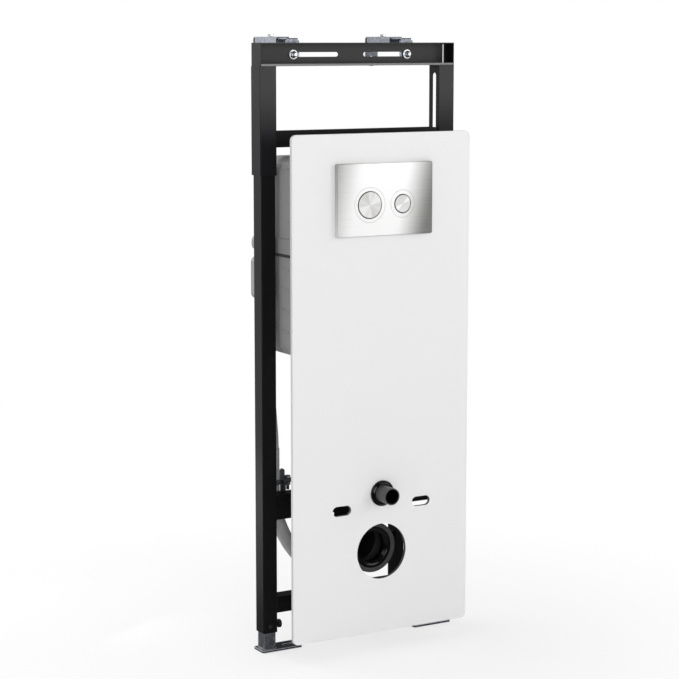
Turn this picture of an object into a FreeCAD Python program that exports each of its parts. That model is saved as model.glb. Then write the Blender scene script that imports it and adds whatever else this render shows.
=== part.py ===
import FreeCAD, Part
import Sketcher
import math
import os
import re

# A wall hung toilet frame: a steel frame on two telescoping feet, with an extending top, a concealed
# cistern, a white front panel, a flush plate and the two pipes that the bowl plugs on to.
# +X is to the right seen from the front, +Y runs back towards the wall, +Z is up.
# The origin is on the floor, midway between the two anchor slots of the foot plates.

os.makedirs("parts", exist_ok=True)
doc = FreeCAD.newDocument("WallHungToiletFrame")

SIZES = {
    # frame and posts
    "frame_width": 495.0,
    "sleeve_width": 40.0,
    "sleeve_depth": 43.0,
    "sleeve_wall": 2.0,
    "sleeve_gap": 0.5,
    "sleeve_bend": 2.0,
    "sleeve_bottom": 1064.0,
    "sleeve_lip": 9.0,
    "post_depth": 37.0,
    "post_wall": 2.0,
    "post_bottom": 43.0,
    "post_top": 1156.0,
    "post_corner": 2.0,
    "height_slot_width": 15.0,
    "height_slot_low": 1080.0,
    "height_slot_high": 1281.0,
    "height_bolt_radius": 5.0,
    # top beam
    "beam_bottom": 1298.0,
    "beam_height": 50.0,
    "beam_wall": 2.0,
    "beam_lip": 5.0,
    "beam_depth": 41.0,
    "beam_slot_start": 32.0,
    "beam_slot_end": 158.0,
    "beam_slot_height": 10.0,
    "beam_slot_level": 1322.5,
    "beam_end_step": 1.0,
    "beam_relief": 3.0,
    # feet
    "leg_width": 30.0,
    "leg_wall": 2.5,
    "leg_corner": 2.0,
    "leg_length": 345.0,
    "foot_outer_edge": 249.0,
    "foot_length": 100.0,
    "foot_depth": 46.0,
    "foot_thickness": 5.0,
    "foot_corner": 5.0,
    "anchor_place": 175.0,
    "anchor_slot_length": 26.0,
    "anchor_radius": 5.5,
    "lock_level": 57.0,
    "lock_hole_radius": 4.5,
    "lock_head_width": 17.0,
    "lock_head_height": 8.0,
    "lock_nut_height": 6.0,
    "lock_reach": 17.0,
    "lock_thread_gap": 0.1,
    "set_screw_inset": 0.3,
    # crossbeams and rails
    "crossbeam_half_depth": 17.0,
    "crossbeam_wall": 2.0,
    "lower_beam_bottom": 87.0,
    "lower_beam_top": 124.0,
    "middle_beam_bottom": 300.0,
    "middle_beam_top": 356.0,
    "upper_beam_bottom": 1124.0,
    "upper_beam_top": 1159.0,
    "upper_beam_end_gap": 2.0,
    "rail_inner": 100.0,
    "rail_width": 22.0,
    "rail_setback": 1.0,
    "saddle_half_width": 61.0,
    "saddle_height": 34.0,
    "saddle_thickness": 4.0,
    "saddle_clearance": 8.0,
    # bowl connections
    "bowl_bolt_level": 328.0,
    "bowl_bolt_place": 102.5,
    "bowl_slot_length": 38.0,
    "bowl_slot_radius": 6.5,
    "waste_level": 225.0,
    "waste_face": 82.0,
    "waste_flange_radius": 57.5,
    "waste_step_radius": 47.5,
    "waste_body_radius": 50.0,
    "waste_bore_radius": 45.0,
    "waste_seal_radius": 35.0,
    "waste_pipe_radius": 45.0,
    "waste_pipe_wall": 3.5,
    "waste_bend_radius": 75.0,
    "waste_bend_start": 20.0,
    "waste_pipe_bottom": 62.0,
    "waste_pipe_start": 22.0,
    "waste_flange_depth": 10.0,
    "waste_mouth_step": 3.0,
    "waste_edge": 1.5,
    "waste_seal_inset": 1.0,
    "waste_seal_length": 26.0,
    "waste_seal_lead": 5.0,
    "waste_seal_pitch": 7.0,
    "waste_seal_rim": 2.0,
    "flush_level": 357.6,
    "flush_reach": 165.0,
    "flush_stub_radius": 19.0,
    "flush_stub_wall": 2.5,
    "flush_seat_step": 0.5,
    "flush_stub_edge": 1.0,
    "flush_socket_length": 8.0,
    "flush_pipe_radius": 25.0,
    "flush_pipe_wall": 2.5,
    "flush_pipe_place": 45.0,
    "flush_bend_radius": 42.0,
    "flush_collar_radius": 29.0,
    "flush_collar_thickness": 7.0,
    "flush_collar_step": 1.0,
    "flush_collar_bevel": 2.0,
    "flush_collar_rim": 5.0,
    # panel
    "panel_front": 120.0,
    "panel_thickness": 8.0,
    "panel_width": 450.0,
    "panel_bottom": 40.0,
    "panel_top": 1155.0,
    "panel_corner": 12.0,
    "panel_slot_length": 47.0,
    "panel_slot_radius": 11.0,
    "panel_waste_radius": 63.0,
    "panel_flush_radius": 24.0,
    "spacer_place": 150.0,
    "spacer_radius": 9.0,
    "spacer_flange": 8.0,
    "spacer_flange_thickness": 5.0,
    "spacer_rise": 12.0,
    # flush plate and buttons
    "plate_width": 240.0,
    "plate_bottom": 933.0,
    "plate_top": 1091.0,
    "plate_depth": 13.0,
    "plate_wall": 2.5,
    "plate_corner": 4.0,
    "plate_edge": 1.5,
    "groove_width": 0.7,
    "groove_depth": 0.4,
    "large_groove_radius": 38.5,
    "small_groove_radius": 30.5,
    "service_width": 208.0,
    "service_bottom": 948.0,
    "service_top": 1076.0,
    "service_wall": 4.0,
    "button_level": 1001.0,
    "large_button_place": -40.0,
    "large_button_radius": 28.5,
    "small_button_place": 43.0,
    "small_button_radius": 19.5,
    "button_gap": 1.8,
    "button_height": 5.0,
    "button_proud": 1.0,
    "button_stem_radius": 6.0,
    "button_stem_end": 84.0,
    "stem_guide_gap": 0.3,
    # cistern
    "cistern_side_gap": 10.0,
    "cistern_bottom": 667.0,
    "cistern_top": 1103.0,
    "cistern_front": 74.0,
    "cistern_seam": 24.0,
    "cistern_back": 58.0,
    "cistern_wall": 4.0,
    "cistern_corner": 34.0,
    "cistern_edge": 9.0,
    "seal_thickness": 1.5,
    "seal_setback": 1.0,
    "band_bottom": 888.0,
    "band_top": 928.0,
    "band_thickness": 3.0,
    "band_groove": 2.0,
    "band_groove_level": 893.0,
    "band_end": 22.0,
    "rib_spacing": 46.0,
    "rib_lowest": 729.0,
    "rib_thickness": 2.0,
    "rib_drop": 7.5,
    "rib_height": 1.0,
    "short_rib_spacing": 38.0,
    "short_rib_lowest": 965.0,
    "short_rib_length": 18.0,
    "back_rib_width": 6.0,
    "back_rib_height": 2.0,
    "back_rib_place": 90.0,
    "lug_height": 30.0,
    "low_lug_level": 720.0,
    "high_lug_level": 850.0,
    "lug_front": 1.0,
    "lug_depth": 16.0,
    # covers of the water connections
    "rear_block_width": 31.0,
    "rear_block_depth": 36.0,
    "rear_block_back": 4.0,
    "large_block_bottom": 789.0,
    "large_block_top": 882.0,
    "small_block_bottom": 897.0,
    "small_block_top": 929.0,
    "block_corner": 12.0,
    "block_edge": 4.0,
    # grey conduit
    "conduit_radius": 16.0,
    "conduit_wall": 2.0,
    "conduit_fit_gap": 0.6,
    "conduit_depth": 40.0,
    "conduit_from_post": 20.0,
    "conduit_top": 660.0,
    "conduit_lean": 4.6,
    "conduit_lean_radius": 500.0,
    "conduit_straight_high": 450.0,
    "conduit_straight_low": 366.0,
    "conduit_bend_radius": 255.0,
    "conduit_bend_angle": 51.0,
    "conduit_upper_radius": 14.5,
    "conduit_upper_start": 425.0,
    # conduit clamp
    "clamp_level": 374.0,
    "clamp_height": 10.0,
    "clamp_thickness": 3.5,
    "clamp_lobe_top": 401.0,
    "clamp_lobe_width": 11.0,
    "clamp_lobe_thickness": 5.0,
    "clamp_ear_end": 47.0,
    "clamp_ear_half": 7.0,
    "clamp_strut_place": 19.0,
    "clamp_strut_width": 3.0,
    "clamp_bolt_place": 38.5,
    "clamp_bolt_radius": 4.0,
    "clamp_bolt_bottom": 352.0,
    # wall brackets
    "bracket_place": 145.5,
    "bracket_width": 33.0,
    "bracket_thickness": 2.5,
    "wall_distance": 174.5,
    "arm_top": 1361.0,
    "wall_plate_bottom": 1294.0,
    "wall_hole_radius": 5.5,
    "arm_start": 66.0,
    "arm_side": 12.5,
    "arm_bend": 7.0,
    "arm_slide_gap": 0.5,
    "arm_slot_front": 45.0,
    "arm_slot_back": 40.0,
    "wall_hole_rise": 18.0,
    "tab_rise": 4.0,
    "leg_overrun": 10.0,
    "clamp_screw_place": 121.0,
    "clamp_screw_radius": 4.0,
    "nut_width": 13.0,
    "nut_height": 6.0,
    "screw_head_height": 5.0,
    "screw_tip": 4.0,
    "screw_hole_gap": 0.5,
    "washer_thickness": 2.0,
    "web_bolt_radius": 4.0,
    "washer_radius": 10.5,
}

sizes = doc.addObject("Spreadsheet::Sheet", "Sizes")
for row, (word, value) in enumerate(SIZES.items(), 1):
    sizes.set(f"A{row}", word)
    sizes.set(f"B{row}", str(value))
    sizes.setAlias(f"B{row}", word)
working = doc.addObject("Spreadsheet::Sheet", "Working")
doc.recompute()

UP = FreeCAD.Vector(0, 0, 1)
DIRECTIONS = {
    "X": FreeCAD.Vector(1, 0, 0),
    "Y": FreeCAD.Vector(0, 1, 0),
    "Z": FreeCAD.Vector(0, 0, 1),
}
ORDER = {"X": "xyz", "Y": "yxz", "Z": "zxy"}


# Expressions are written with the words of the sheet; this puts the sheet's name before each of them.
def linked(text):
    return re.sub(r"[a-z][a-z_]*[a-z]", lambda found: named(found.group()), str(text))


def named(word):
    return f"Sizes.{word}" if word in SIZES else word


# The present value of such an expression, read from a cell of a second sheet.
def number(text):
    working.set("A1", f"={linked(text)}")
    working.recompute()
    return float(working.A1)


def box(label, x, y, z):
    solid = doc.addObject("Part::Box", label)
    for side, axis, (low, high) in zip(("Length", "Width", "Height"), "xyz", (x, y, z)):
        solid.setExpression(side, linked(f"({high}) - ({low})"))
        solid.setExpression(f"Placement.Base.{axis}", linked(low))
    return solid


# A round bar along an axis, from start to end; place holds the other two coordinates in x, y, z order.
def rod(label, axis, start, end, radius, place):
    solid = doc.addObject("Part::Cylinder", label)
    turn = FreeCAD.Rotation(UP, DIRECTIONS[axis])
    solid.Placement = FreeCAD.Placement(FreeCAD.Vector(), turn)
    solid.setExpression("Radius", linked(radius))
    solid.setExpression("Height", linked(f"({end}) - ({start})"))
    for letter, value in zip(ORDER[axis], (start, *place)):
        solid.setExpression(f"Placement.Base.{letter}", linked(value))
    return solid


def hexagon(label, axis, start, end, width, place):
    solid = doc.addObject("Part::Prism", label)
    solid.Polygon = 6
    turn = FreeCAD.Rotation(UP, DIRECTIONS[axis])
    solid.Placement = FreeCAD.Placement(FreeCAD.Vector(), turn)
    solid.setExpression("Circumradius", linked(f"({width}) / sqrt(3)"))
    solid.setExpression("Height", linked(f"({end}) - ({start})"))
    for letter, value in zip(ORDER[axis], (start, *place)):
        solid.setExpression(f"Placement.Base.{letter}", linked(value))
    return solid


def joined(label, *shapes):
    if len(shapes) == 1:
        return shapes[0]
    solid = doc.addObject("Part::MultiFuse", label)
    solid.Shapes = list(shapes)
    solid.Refine = True
    return solid


def cut(label, base, *tools):
    solid = doc.addObject("Part::Cut", label)
    solid.Base = base
    solid.Tool = joined(f"{label}_tools", *tools)
    return solid


def together(label, *shapes):
    group = doc.addObject("Part::Compound", label)
    group.Links = list(shapes)
    return group


def mirrored(label, source):
    copy = doc.addObject("Part::Mirroring", label)
    copy.Source = source
    copy.Base = FreeCAD.Vector()
    copy.Normal = DIRECTIONS["X"]
    return copy


def both_sides(label, source):
    return together(label, source, mirrored(f"{label}_mirror", source))


def new_body(label):
    return doc.addObject("PartDesign::Body", label)


# A sketch on one of the body's origin planes, moved along the plane's normal and, where asked, along its y.
def sketch_in(body, label, role, offset, shift="0"):
    sketch = body.newObject("Sketcher::SketchObject", label)
    plane = next(part for part in body.Origin.OriginFeatures if part.Role == role)
    sketch.AttachmentSupport = (plane, [""])
    sketch.MapMode = "FlatFace"
    sketch.setExpression("AttachmentOffset.Base.z", linked(offset))
    sketch.setExpression("AttachmentOffset.Base.y", linked(shift))
    return sketch


def fix(sketch, geometry, point, x=None, y=None):
    for kind, value in (("DistanceX", x), ("DistanceY", y)):
        if value is not None:
            rule = Sketcher.Constraint(kind, -1, 1, geometry, point, number(value))
            spot = sketch.addConstraint(rule)
            sketch.setExpression(f"Constraints[{spot}]", linked(value))


def spot_at(x, y):
    return FreeCAD.Vector(number(x), number(y), 0)


def line(sketch, start, end):
    return sketch.addGeometry(Part.LineSegment(spot_at(*start), spot_at(*end)), False)


# An arc that runs anticlockwise between two angles, in quarter turns from the sketch's x.
def arc(sketch, centre, radius, start, end):
    shape = Part.Circle(spot_at(*centre), UP, number(radius))
    quarter = math.pi / 2
    return sketch.addGeometry(Part.ArcOfCircle(shape, start * quarter, end * quarter), False)


def chain(sketch, pieces):
    for one, two in zip(pieces, pieces[1:] + pieces[:1]):
        sketch.addConstraint(Sketcher.Constraint("Coincident", one, 2, two, 1))


def polygon(sketch, points):
    sides = [line(sketch, one, two) for one, two in zip(points, points[1:] + points[:1])]
    chain(sketch, sides)
    for side, (x, y) in zip(sides, points):
        fix(sketch, side, 1, x, y)


def circle(sketch, x, y, radius):
    spot = sketch.addGeometry(Part.Circle(spot_at(x, y), UP, number(radius)), False)
    fix(sketch, spot, 3, x, y)
    rule = sketch.addConstraint(Sketcher.Constraint("Radius", spot, number(radius)))
    sketch.setExpression(f"Constraints[{rule}]", linked(radius))


# A slot with round ends that runs along the sketch's x; half is the distance from its middle to the
# centre of either end.
def slot(sketch, x, y, half, radius):
    west, east = f"(({x}) - ({half}))", f"(({x}) + ({half}))"
    south, north = f"(({y}) - ({radius}))", f"(({y}) + ({radius}))"
    left = arc(sketch, (west, y), radius, 1, 3)
    low = line(sketch, (west, south), (east, south))
    right = arc(sketch, (east, y), radius, -1, 1)
    high = line(sketch, (east, north), (west, north))
    chain(sketch, [left, low, right, high])
    fix(sketch, low, 1, west, south)
    fix(sketch, low, 2, east, south)
    fix(sketch, high, 1, east, north)
    fix(sketch, high, 2, west, north)
    fix(sketch, left, 3, west)
    fix(sketch, right, 3, east)


def tall_slot(sketch, x, low_end, high_end, radius):
    west, east = f"(({x}) - ({radius}))", f"(({x}) + ({radius}))"
    south, north = f"(({low_end}) + ({radius}))", f"(({high_end}) - ({radius}))"
    bottom = arc(sketch, (x, south), radius, 2, 4)
    right = line(sketch, (east, south), (east, north))
    top = arc(sketch, (x, north), radius, 0, 2)
    left = line(sketch, (west, north), (west, south))
    chain(sketch, [bottom, right, top, left])
    fix(sketch, right, 1, east, south)
    fix(sketch, right, 2, east, north)
    fix(sketch, left, 1, west, north)
    fix(sketch, left, 2, west, south)
    fix(sketch, bottom, 3, None, south)
    fix(sketch, top, 3, None, north)


def rounded_rectangle(sketch, x, y, radius):
    (left, right), (low, high) = x, y
    west, east = f"(({left}) + ({radius}))", f"(({right}) - ({radius}))"
    south, north = f"(({low}) + ({radius}))", f"(({high}) - ({radius}))"
    bottom_line = line(sketch, (west, low), (east, low))
    low_right = arc(sketch, (east, south), radius, -1, 0)
    right_line = line(sketch, (right, south), (right, north))
    high_right = arc(sketch, (east, north), radius, 0, 1)
    top_line = line(sketch, (east, high), (west, high))
    high_left = arc(sketch, (west, north), radius, 1, 2)
    left_line = line(sketch, (left, north), (left, south))
    low_left = arc(sketch, (west, south), radius, 2, 3)
    lower_half = [bottom_line, low_right, right_line, high_right]
    upper_half = [top_line, high_left, left_line, low_left]
    chain(sketch, lower_half + upper_half)
    fix(sketch, bottom_line, 1, west, low)
    fix(sketch, bottom_line, 2, east, low)
    fix(sketch, right_line, 1, right, south)
    fix(sketch, right_line, 2, right, north)
    fix(sketch, top_line, 1, east, high)
    fix(sketch, top_line, 2, west, high)
    fix(sketch, left_line, 1, left, north)
    fix(sketch, left_line, 2, left, south)
    for corner, middle in ((low_right, east), (high_right, east), (high_left, west), (low_left, west)):
        fix(sketch, corner, 3, middle)


def pad(body, label, sketch, length):
    feature = body.newObject("PartDesign::Pad", label)
    feature.Profile = sketch
    feature.setExpression("Length", linked(length))
    sketch.Visibility = False
    doc.recompute()
    return feature


# The cut starts at its sketch and goes the way the sketch's plane faces.
def pocket(body, label, sketch, length):
    doc.recompute()
    before = body.Shape.Volume
    feature = body.newObject("PartDesign::Pocket", label)
    feature.Profile = sketch
    feature.Reversed = True
    feature.setExpression("Length", linked(length))
    doc.recompute()
    if feature.Shape.Volume >= before:
        raise RuntimeError(f"{label} removes nothing")
    return feature


def revolve(body, label, sketch):
    feature = body.newObject("PartDesign::Revolution", label)
    feature.Profile = sketch
    feature.ReferenceAxis = (sketch, ["H_Axis"])
    feature.Angle = 360.0
    doc.recompute()
    return feature


# The straight edges of a feature that run along one axis through any of the given places; a place holds
# the other two coordinates in x, y, z order.
def edges_along(feature, axis, places):
    letters = [letter for letter in "xyz" if letter != axis.lower()]
    found = []
    for index, edge in enumerate(feature.Shape.Edges, 1):
        if edge.Curve.TypeId != "Part::GeomLine" or abs(edge.Curve.Direction.dot(DIRECTIONS[axis])) < 0.999:
            continue
        middle = edge.CenterOfMass
        spot = [getattr(middle, letter) for letter in letters]
        if any(abs(spot[0] - first) + abs(spot[1] - second) < 0.01 for first, second in places):
            found.append(f"Edge{index}")
    return found


def fillet(body, label, base, edges, radius):
    feature = body.newObject("PartDesign::Fillet", label)
    feature.Base = (base, edges)
    feature.setExpression("Radius", linked(radius))
    doc.recompute()
    return feature


NODES = {}


def node(name, shape):
    shape.Label = name
    NODES[name] = shape
    return shape


POST_OUTER = "(frame_width / 2 - sleeve_wall - sleeve_gap)"
BEAM_END = "(frame_width / 2 - beam_end_step)"
POST_WIDTH = "(sleeve_width - 2 * sleeve_wall - 2 * sleeve_gap)"
POST_INNER = f"({POST_OUTER} - {POST_WIDTH})"
POST_CENTRE = f"({POST_OUTER} - {POST_WIDTH} / 2)"
SLEEVE_FRONT = "(-post_depth / 2 - sleeve_gap - sleeve_wall)"
SLEEVE_BACK = f"({SLEEVE_FRONT} + sleeve_depth)"
SLEEVE_INNER = "(frame_width / 2 - sleeve_width)"
BEAM_TOP = "(beam_bottom + beam_height)"
BEAM_BACK = f"({SLEEVE_FRONT} + beam_depth)"
PANEL_BACK = "(-panel_front + panel_thickness)"
CISTERN_HALF = f"({POST_INNER} - cistern_side_gap)"
BLOCK_BACK = "(cistern_back + rear_block_back)"
CONDUIT_PLACE = f"({POST_INNER} - conduit_from_post)"
PLATE_FRONT = "(-panel_front - plate_depth)"
HEIGHT_BOLT_LEVEL = "((upper_beam_bottom + upper_beam_top) / 2)"


# A hollow square tube with round corners, standing on a level; its far walls stay full.
def square_tube(label, x, y, bottom, length, corner, wall):
    body = new_body(label)
    sketch = sketch_in(body, f"{label}_section", "XY_Plane", bottom)
    rounded_rectangle(sketch, x, y, corner)
    inner_x = (f"({x[0]} + {wall})", f"({x[1]} - {wall})")
    inner_y = (f"({y[0]} + {wall})", f"({y[1]} - {wall})")
    rounded_rectangle(sketch, inner_x, inner_y, f"({corner}) / 4")
    pad(body, f"{label}_pad", sketch, length)
    return body


# Two galvanised square tubes that slide in the posts.
def leg_tubes():
    x = (f"({POST_CENTRE} - leg_width / 2)", f"({POST_CENTRE} + leg_width / 2)")
    y = ("(-leg_width / 2)", "(leg_width / 2)")
    tube = square_tube("leg_tube", x, y, "foot_thickness", "leg_length", "leg_corner", "leg_wall")
    return both_sides("leg_tubes", tube)


# The plates under the legs, each with a slot for its floor anchor and a small fixing hole.
def foot_plates():
    body = new_body("foot_plate")
    sketch = sketch_in(body, "foot_outline", "XY_Plane", "0")
    x = ("foot_outer_edge - foot_length", "foot_outer_edge")
    rounded_rectangle(sketch, x, ("-foot_depth / 2", "foot_depth / 2"), "foot_corner")
    slot(sketch, "anchor_place", "0", "anchor_slot_length / 2 - anchor_radius", "anchor_radius")
    pad(body, "foot_pad", sketch, "foot_thickness")
    return both_sides("foot_plates", body)


# Two black square tubes, bored near the bottom for the lock screw and the set screw.
def main_posts():
    y = ("(-post_depth / 2)", "(post_depth / 2)")
    tube = square_tube("post_tube", (POST_INNER, POST_OUTER), y, "post_bottom", "post_top - post_bottom",
                       "post_corner", "post_wall")
    margin = 5
    x = (f"{POST_INNER} - {margin}", f"{POST_INNER} + {margin}")
    side = rod("post_side_hole", "X", *x, "lock_hole_radius", ("0", "lock_level"))
    front = rod("post_front_hole", "Y", "-post_depth", "0", "lock_hole_radius", (POST_CENTRE, "lock_level"))
    bolt = rod("post_bolt_hole", "X", x[0], POST_CENTRE, "height_bolt_radius", ("0", HEIGHT_BOLT_LEVEL))
    return both_sides("main_posts", cut("main_post", tube, side, front, bolt))


# On each post a welded nut with a hexagon screw that presses on the leg, and a set screw in front.
def lock_screws():
    place = ("0", "lock_level")
    head_start = f"({POST_INNER} - lock_reach)"
    head_end = f"({head_start} + lock_head_height)"
    head = hexagon("lock_head", "X", head_start, head_end, "lock_head_width", place)
    nut = hexagon("lock_nut", "X", f"{POST_INNER} - lock_nut_height", POST_INNER, "lock_head_width", place)
    radius = "lock_hole_radius - lock_thread_gap"
    shank = rod("lock_shank", "X", head_end, f"{POST_INNER} + post_wall", radius, place)
    screw = joined("lock_screw", head, nut, shank)
    face = "(-post_depth / 2)"
    radius = "lock_hole_radius - lock_thread_gap"
    plug_place = (POST_CENTRE, "lock_level")
    start, end = f"{face} + set_screw_inset", f"{face} + post_wall"
    plug = rod("set_screw_plug", "Y", start, end, radius, plug_place)
    end = f"{face} + post_wall / 2"
    socket = hexagon("set_screw_socket", "Y", face, end, "lock_hole_radius", plug_place)
    set_screw = cut("set_screw", plug, socket)
    return both_sides("lock_screws", together("lock_and_set_screw", screw, set_screw))


# An open channel between the posts, its back open.
def crossbeam(label, end, bottom, top):
    body = new_body(label)
    sketch = sketch_in(body, f"{label}_section", "YZ_Plane", f"-({end})")
    back, front, wall = "crossbeam_half_depth", "-crossbeam_half_depth", "crossbeam_wall"
    points = [
        (front, bottom),
        (back, bottom),
        (back, f"{bottom} + {wall}"),
        (f"{front} + {wall}", f"{bottom} + {wall}"),
        (f"{front} + {wall}", f"{top} - {wall}"),
        (back, f"{top} - {wall}"),
        (back, top),
        (front, top),
    ]
    polygon(sketch, points)
    pad(body, f"{label}_pad", sketch, f"2 * ({end})")
    return body


def lower_crossbeam():
    return crossbeam("lower_crossbeam", POST_INNER, "lower_beam_bottom", "lower_beam_top")


# The upper crossbeam has end plates, which the height bolts clamp to the posts through the sleeves' slots.
def upper_crossbeam():
    end = f"({SLEEVE_INNER} - upper_beam_end_gap)"
    channel = crossbeam("upper_channel", end, "upper_beam_bottom", "upper_beam_top")
    x = (f"{end} - 2 * crossbeam_wall", end)
    y = ("-crossbeam_half_depth", "crossbeam_half_depth")
    plate = box("upper_end_plate", x, y, ("upper_beam_bottom", "upper_beam_top"))
    return joined("upper_crossbeam", channel, plate, mirrored("upper_end_plate_mirror", plate))


def height_bolts():
    place = ("0", HEIGHT_BOLT_LEVEL)
    start = f"({SLEEVE_INNER} - upper_beam_end_gap)"
    shank = rod("height_shank", "X", start, f"{POST_INNER} + post_wall", "height_bolt_radius", place)
    return both_sides("height_bolts", shank)


# A closed tube with two long slots for the bolts that carry the bowl, 180 or 230 apart.
def middle_crossbeam():
    body = new_body("middle_crossbeam")
    sketch = sketch_in(body, "middle_section", "YZ_Plane", f"-{POST_INNER}")
    half, wall = "crossbeam_half_depth", "crossbeam_wall"
    low, high = "middle_beam_bottom", "middle_beam_top"
    polygon(sketch, [(f"-{half}", low), (half, low), (half, high), (f"-{half}", high)])
    front, back = f"-{half} + {wall}", f"{half} - {wall}"
    floor, roof = f"{low} + {wall}", f"{high} - {wall}"
    polygon(sketch, [(front, floor), (back, floor), (back, roof), (front, roof)])
    pad(body, "middle_pad", sketch, f"2 * {POST_INNER}")
    slots = sketch_in(body, "bowl_bolt_slots", "XZ_Plane", f"-({half} + 1)")
    reach = "bowl_slot_length / 2 - bowl_slot_radius"
    for side in ("-", ""):
        slot(slots, f"{side}bowl_bolt_place", "bowl_bolt_level", reach, "bowl_slot_radius")
    pocket(body, "bowl_bolt_pocket", slots, f"2 * {half} + 2")
    return body


# Upright channels between the lower and the middle crossbeam.
def support_rails():
    body = new_body("support_rail")
    sketch = sketch_in(body, "rail_section", "XY_Plane", "lower_beam_top")
    inner, outer = "rail_inner", "(rail_inner + rail_width)"
    front, back, wall = "(-crossbeam_half_depth + rail_setback)", "crossbeam_half_depth", "crossbeam_wall"
    points = [
        (inner, front),
        (outer, front),
        (outer, back),
        (f"{outer} - {wall}", back),
        (f"{outer} - {wall}", f"{front} + {wall}"),
        (f"{inner} + {wall}", f"{front} + {wall}"),
        (f"{inner} + {wall}", back),
        (inner, back),
    ]
    polygon(sketch, points)
    pad(body, "rail_pad", sketch, "middle_beam_bottom - lower_beam_top")
    return both_sides("support_rails", body)


# The channels round the tops of the posts, lipped at the back and slotted on the inner side.
def sleeves():
    body = new_body("sleeve")
    sketch = sketch_in(body, "sleeve_section", "XY_Plane", "sleeve_bottom")
    inner, outer, wall = SLEEVE_INNER, "frame_width / 2", "sleeve_wall"
    front, back = SLEEVE_FRONT, SLEEVE_BACK
    points = [
        (inner, front),
        (outer, front),
        (outer, back),
        (f"{outer} - sleeve_lip", back),
        (f"{outer} - sleeve_lip", f"{back} - {wall}"),
        (f"{outer} - {wall}", f"{back} - {wall}"),
        (f"{outer} - {wall}", f"{front} + {wall}"),
        (f"{inner} + {wall}", f"{front} + {wall}"),
        (f"{inner} + {wall}", f"{back} - {wall}"),
        (f"{inner} + sleeve_lip", f"{back} - {wall}"),
        (f"{inner} + sleeve_lip", back),
        (inner, back),
    ]
    polygon(sketch, points)
    channel = pad(body, "sleeve_pad", sketch, "beam_bottom - sleeve_bottom")
    corners = [(x, y) for x in (number(inner), number(outer)) for y in (number(front), number(back))]
    fillet(body, "sleeve_bends", channel, edges_along(channel, "Z", corners), "sleeve_bend")
    slots = sketch_in(body, "height_slot", "YZ_Plane", f"{SLEEVE_INNER} - 1")
    tall_slot(slots, "0", "height_slot_low", "height_slot_high", "height_slot_width / 2")
    pocket(body, "height_slot_pocket", slots, "sleeve_wall + 2")
    return both_sides("sleeves", body)


# The top beam: a channel open to the front, with an upturned lip below, two long slots in its web and a
# narrow relief cut at each end of the web.
def top_beam():
    body = new_body("top_beam")
    end = f"({BEAM_END} - beam_wall)"
    sketch = sketch_in(body, "beam_section", "YZ_Plane", f"-{end}")
    front, back, wall = SLEEVE_FRONT, BEAM_BACK, "beam_wall"
    low, high = "beam_bottom", BEAM_TOP
    points = [
        (front, low),
        (back, low),
        (back, high),
        (front, high),
        (front, f"{high} - {wall}"),
        (f"{back} - {wall}", f"{high} - {wall}"),
        (f"{back} - {wall}", f"{low} + {wall}"),
        (f"{front} + {wall}", f"{low} + {wall}"),
        (f"{front} + {wall}", f"{low} + beam_lip"),
        (front, f"{low} + beam_lip"),
    ]
    polygon(sketch, points)
    channel = pad(body, "beam_pad", sketch, f"2 * {end}")
    corners = [(number(y), number(z)) for y, z in ((back, low), (back, high), (front, low))]
    fillet(body, "beam_bends", channel, edges_along(channel, "X", corners), f"{wall} - 0.4")
    slots = sketch_in(body, "beam_slots", "XZ_Plane", f"-({BEAM_BACK} + 1)")
    middle = "(beam_slot_start + beam_slot_end) / 2"
    half = "(beam_slot_end - beam_slot_start - beam_slot_height) / 2"
    for side in ("-", ""):
        slot(slots, f"{side}({middle})", "beam_slot_level", half, "beam_slot_height / 2")
        edge = f"{side}({end})"
        relief = f"{side}({end} - beam_relief)"
        z = (f"({low} + 2 * {wall})", f"({high} - 2 * {wall})")
        polygon(slots, [(edge, z[0]), (relief, z[0]), (relief, z[1]), (edge, z[1])])
    pocket(body, "beam_slot_pocket", slots, f"{wall} + 2")
    return body


def beam_end_plates():
    x = (f"{BEAM_END} - beam_wall", BEAM_END)
    plate = box("beam_end_plate", x, (SLEEVE_FRONT, BEAM_BACK), ("beam_bottom", BEAM_TOP))
    return both_sides("beam_end_plates", plate)


# The angle bolted behind the beam's web: a tab and a leg that runs back under the wall arm.
def bracket_angle():
    body = new_body("bracket_angle")
    thick = "bracket_thickness"
    leg_half = f"(bracket_width / 2 - {thick} - arm_slide_gap * 2)"
    sketch = sketch_in(body, "angle_section", "YZ_Plane", f"bracket_place - {leg_half}")
    leg_top = f"(arm_top - {thick} - arm_slide_gap)"
    leg_bottom = f"({leg_top} - {thick})"
    front, back = BEAM_BACK, f"({BEAM_BACK} + {thick})"
    leg_end = "(clamp_screw_place + leg_overrun)"
    low = "(beam_bottom + tab_rise)"
    points = [
        (front, low),
        (back, low),
        (back, leg_bottom),
        (leg_end, leg_bottom),
        (leg_end, leg_top),
        (front, leg_top),
    ]
    polygon(sketch, points)
    strip = pad(body, "angle_pad", sketch, f"2 * {leg_half}")
    bend = [(number(front), number(leg_top))]
    fillet(body, "angle_bend", strip, edges_along(strip, "X", bend), thick)
    x = ("bracket_place - bracket_width / 2", "bracket_place + bracket_width / 2")
    tab = box("angle_tab", x, (front, back), (low, f"{leg_bottom} - {thick}"))
    place = ("bracket_place", "beam_slot_level")
    radius = "web_bolt_radius + screw_hole_gap"
    hole = rod("angle_hole", "Y", f"{front} - 1", f"{back} + 1", radius, place)
    screw_place = ("bracket_place", "clamp_screw_place")
    radius = "clamp_screw_radius + screw_hole_gap"
    screw = rod("angle_screw_hole", "Z", f"{leg_bottom} - 1", f"{leg_top} + 1", radius, screw_place)
    return cut("right_bracket_angle", joined("angle_body", body, tab), hole, screw)


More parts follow.
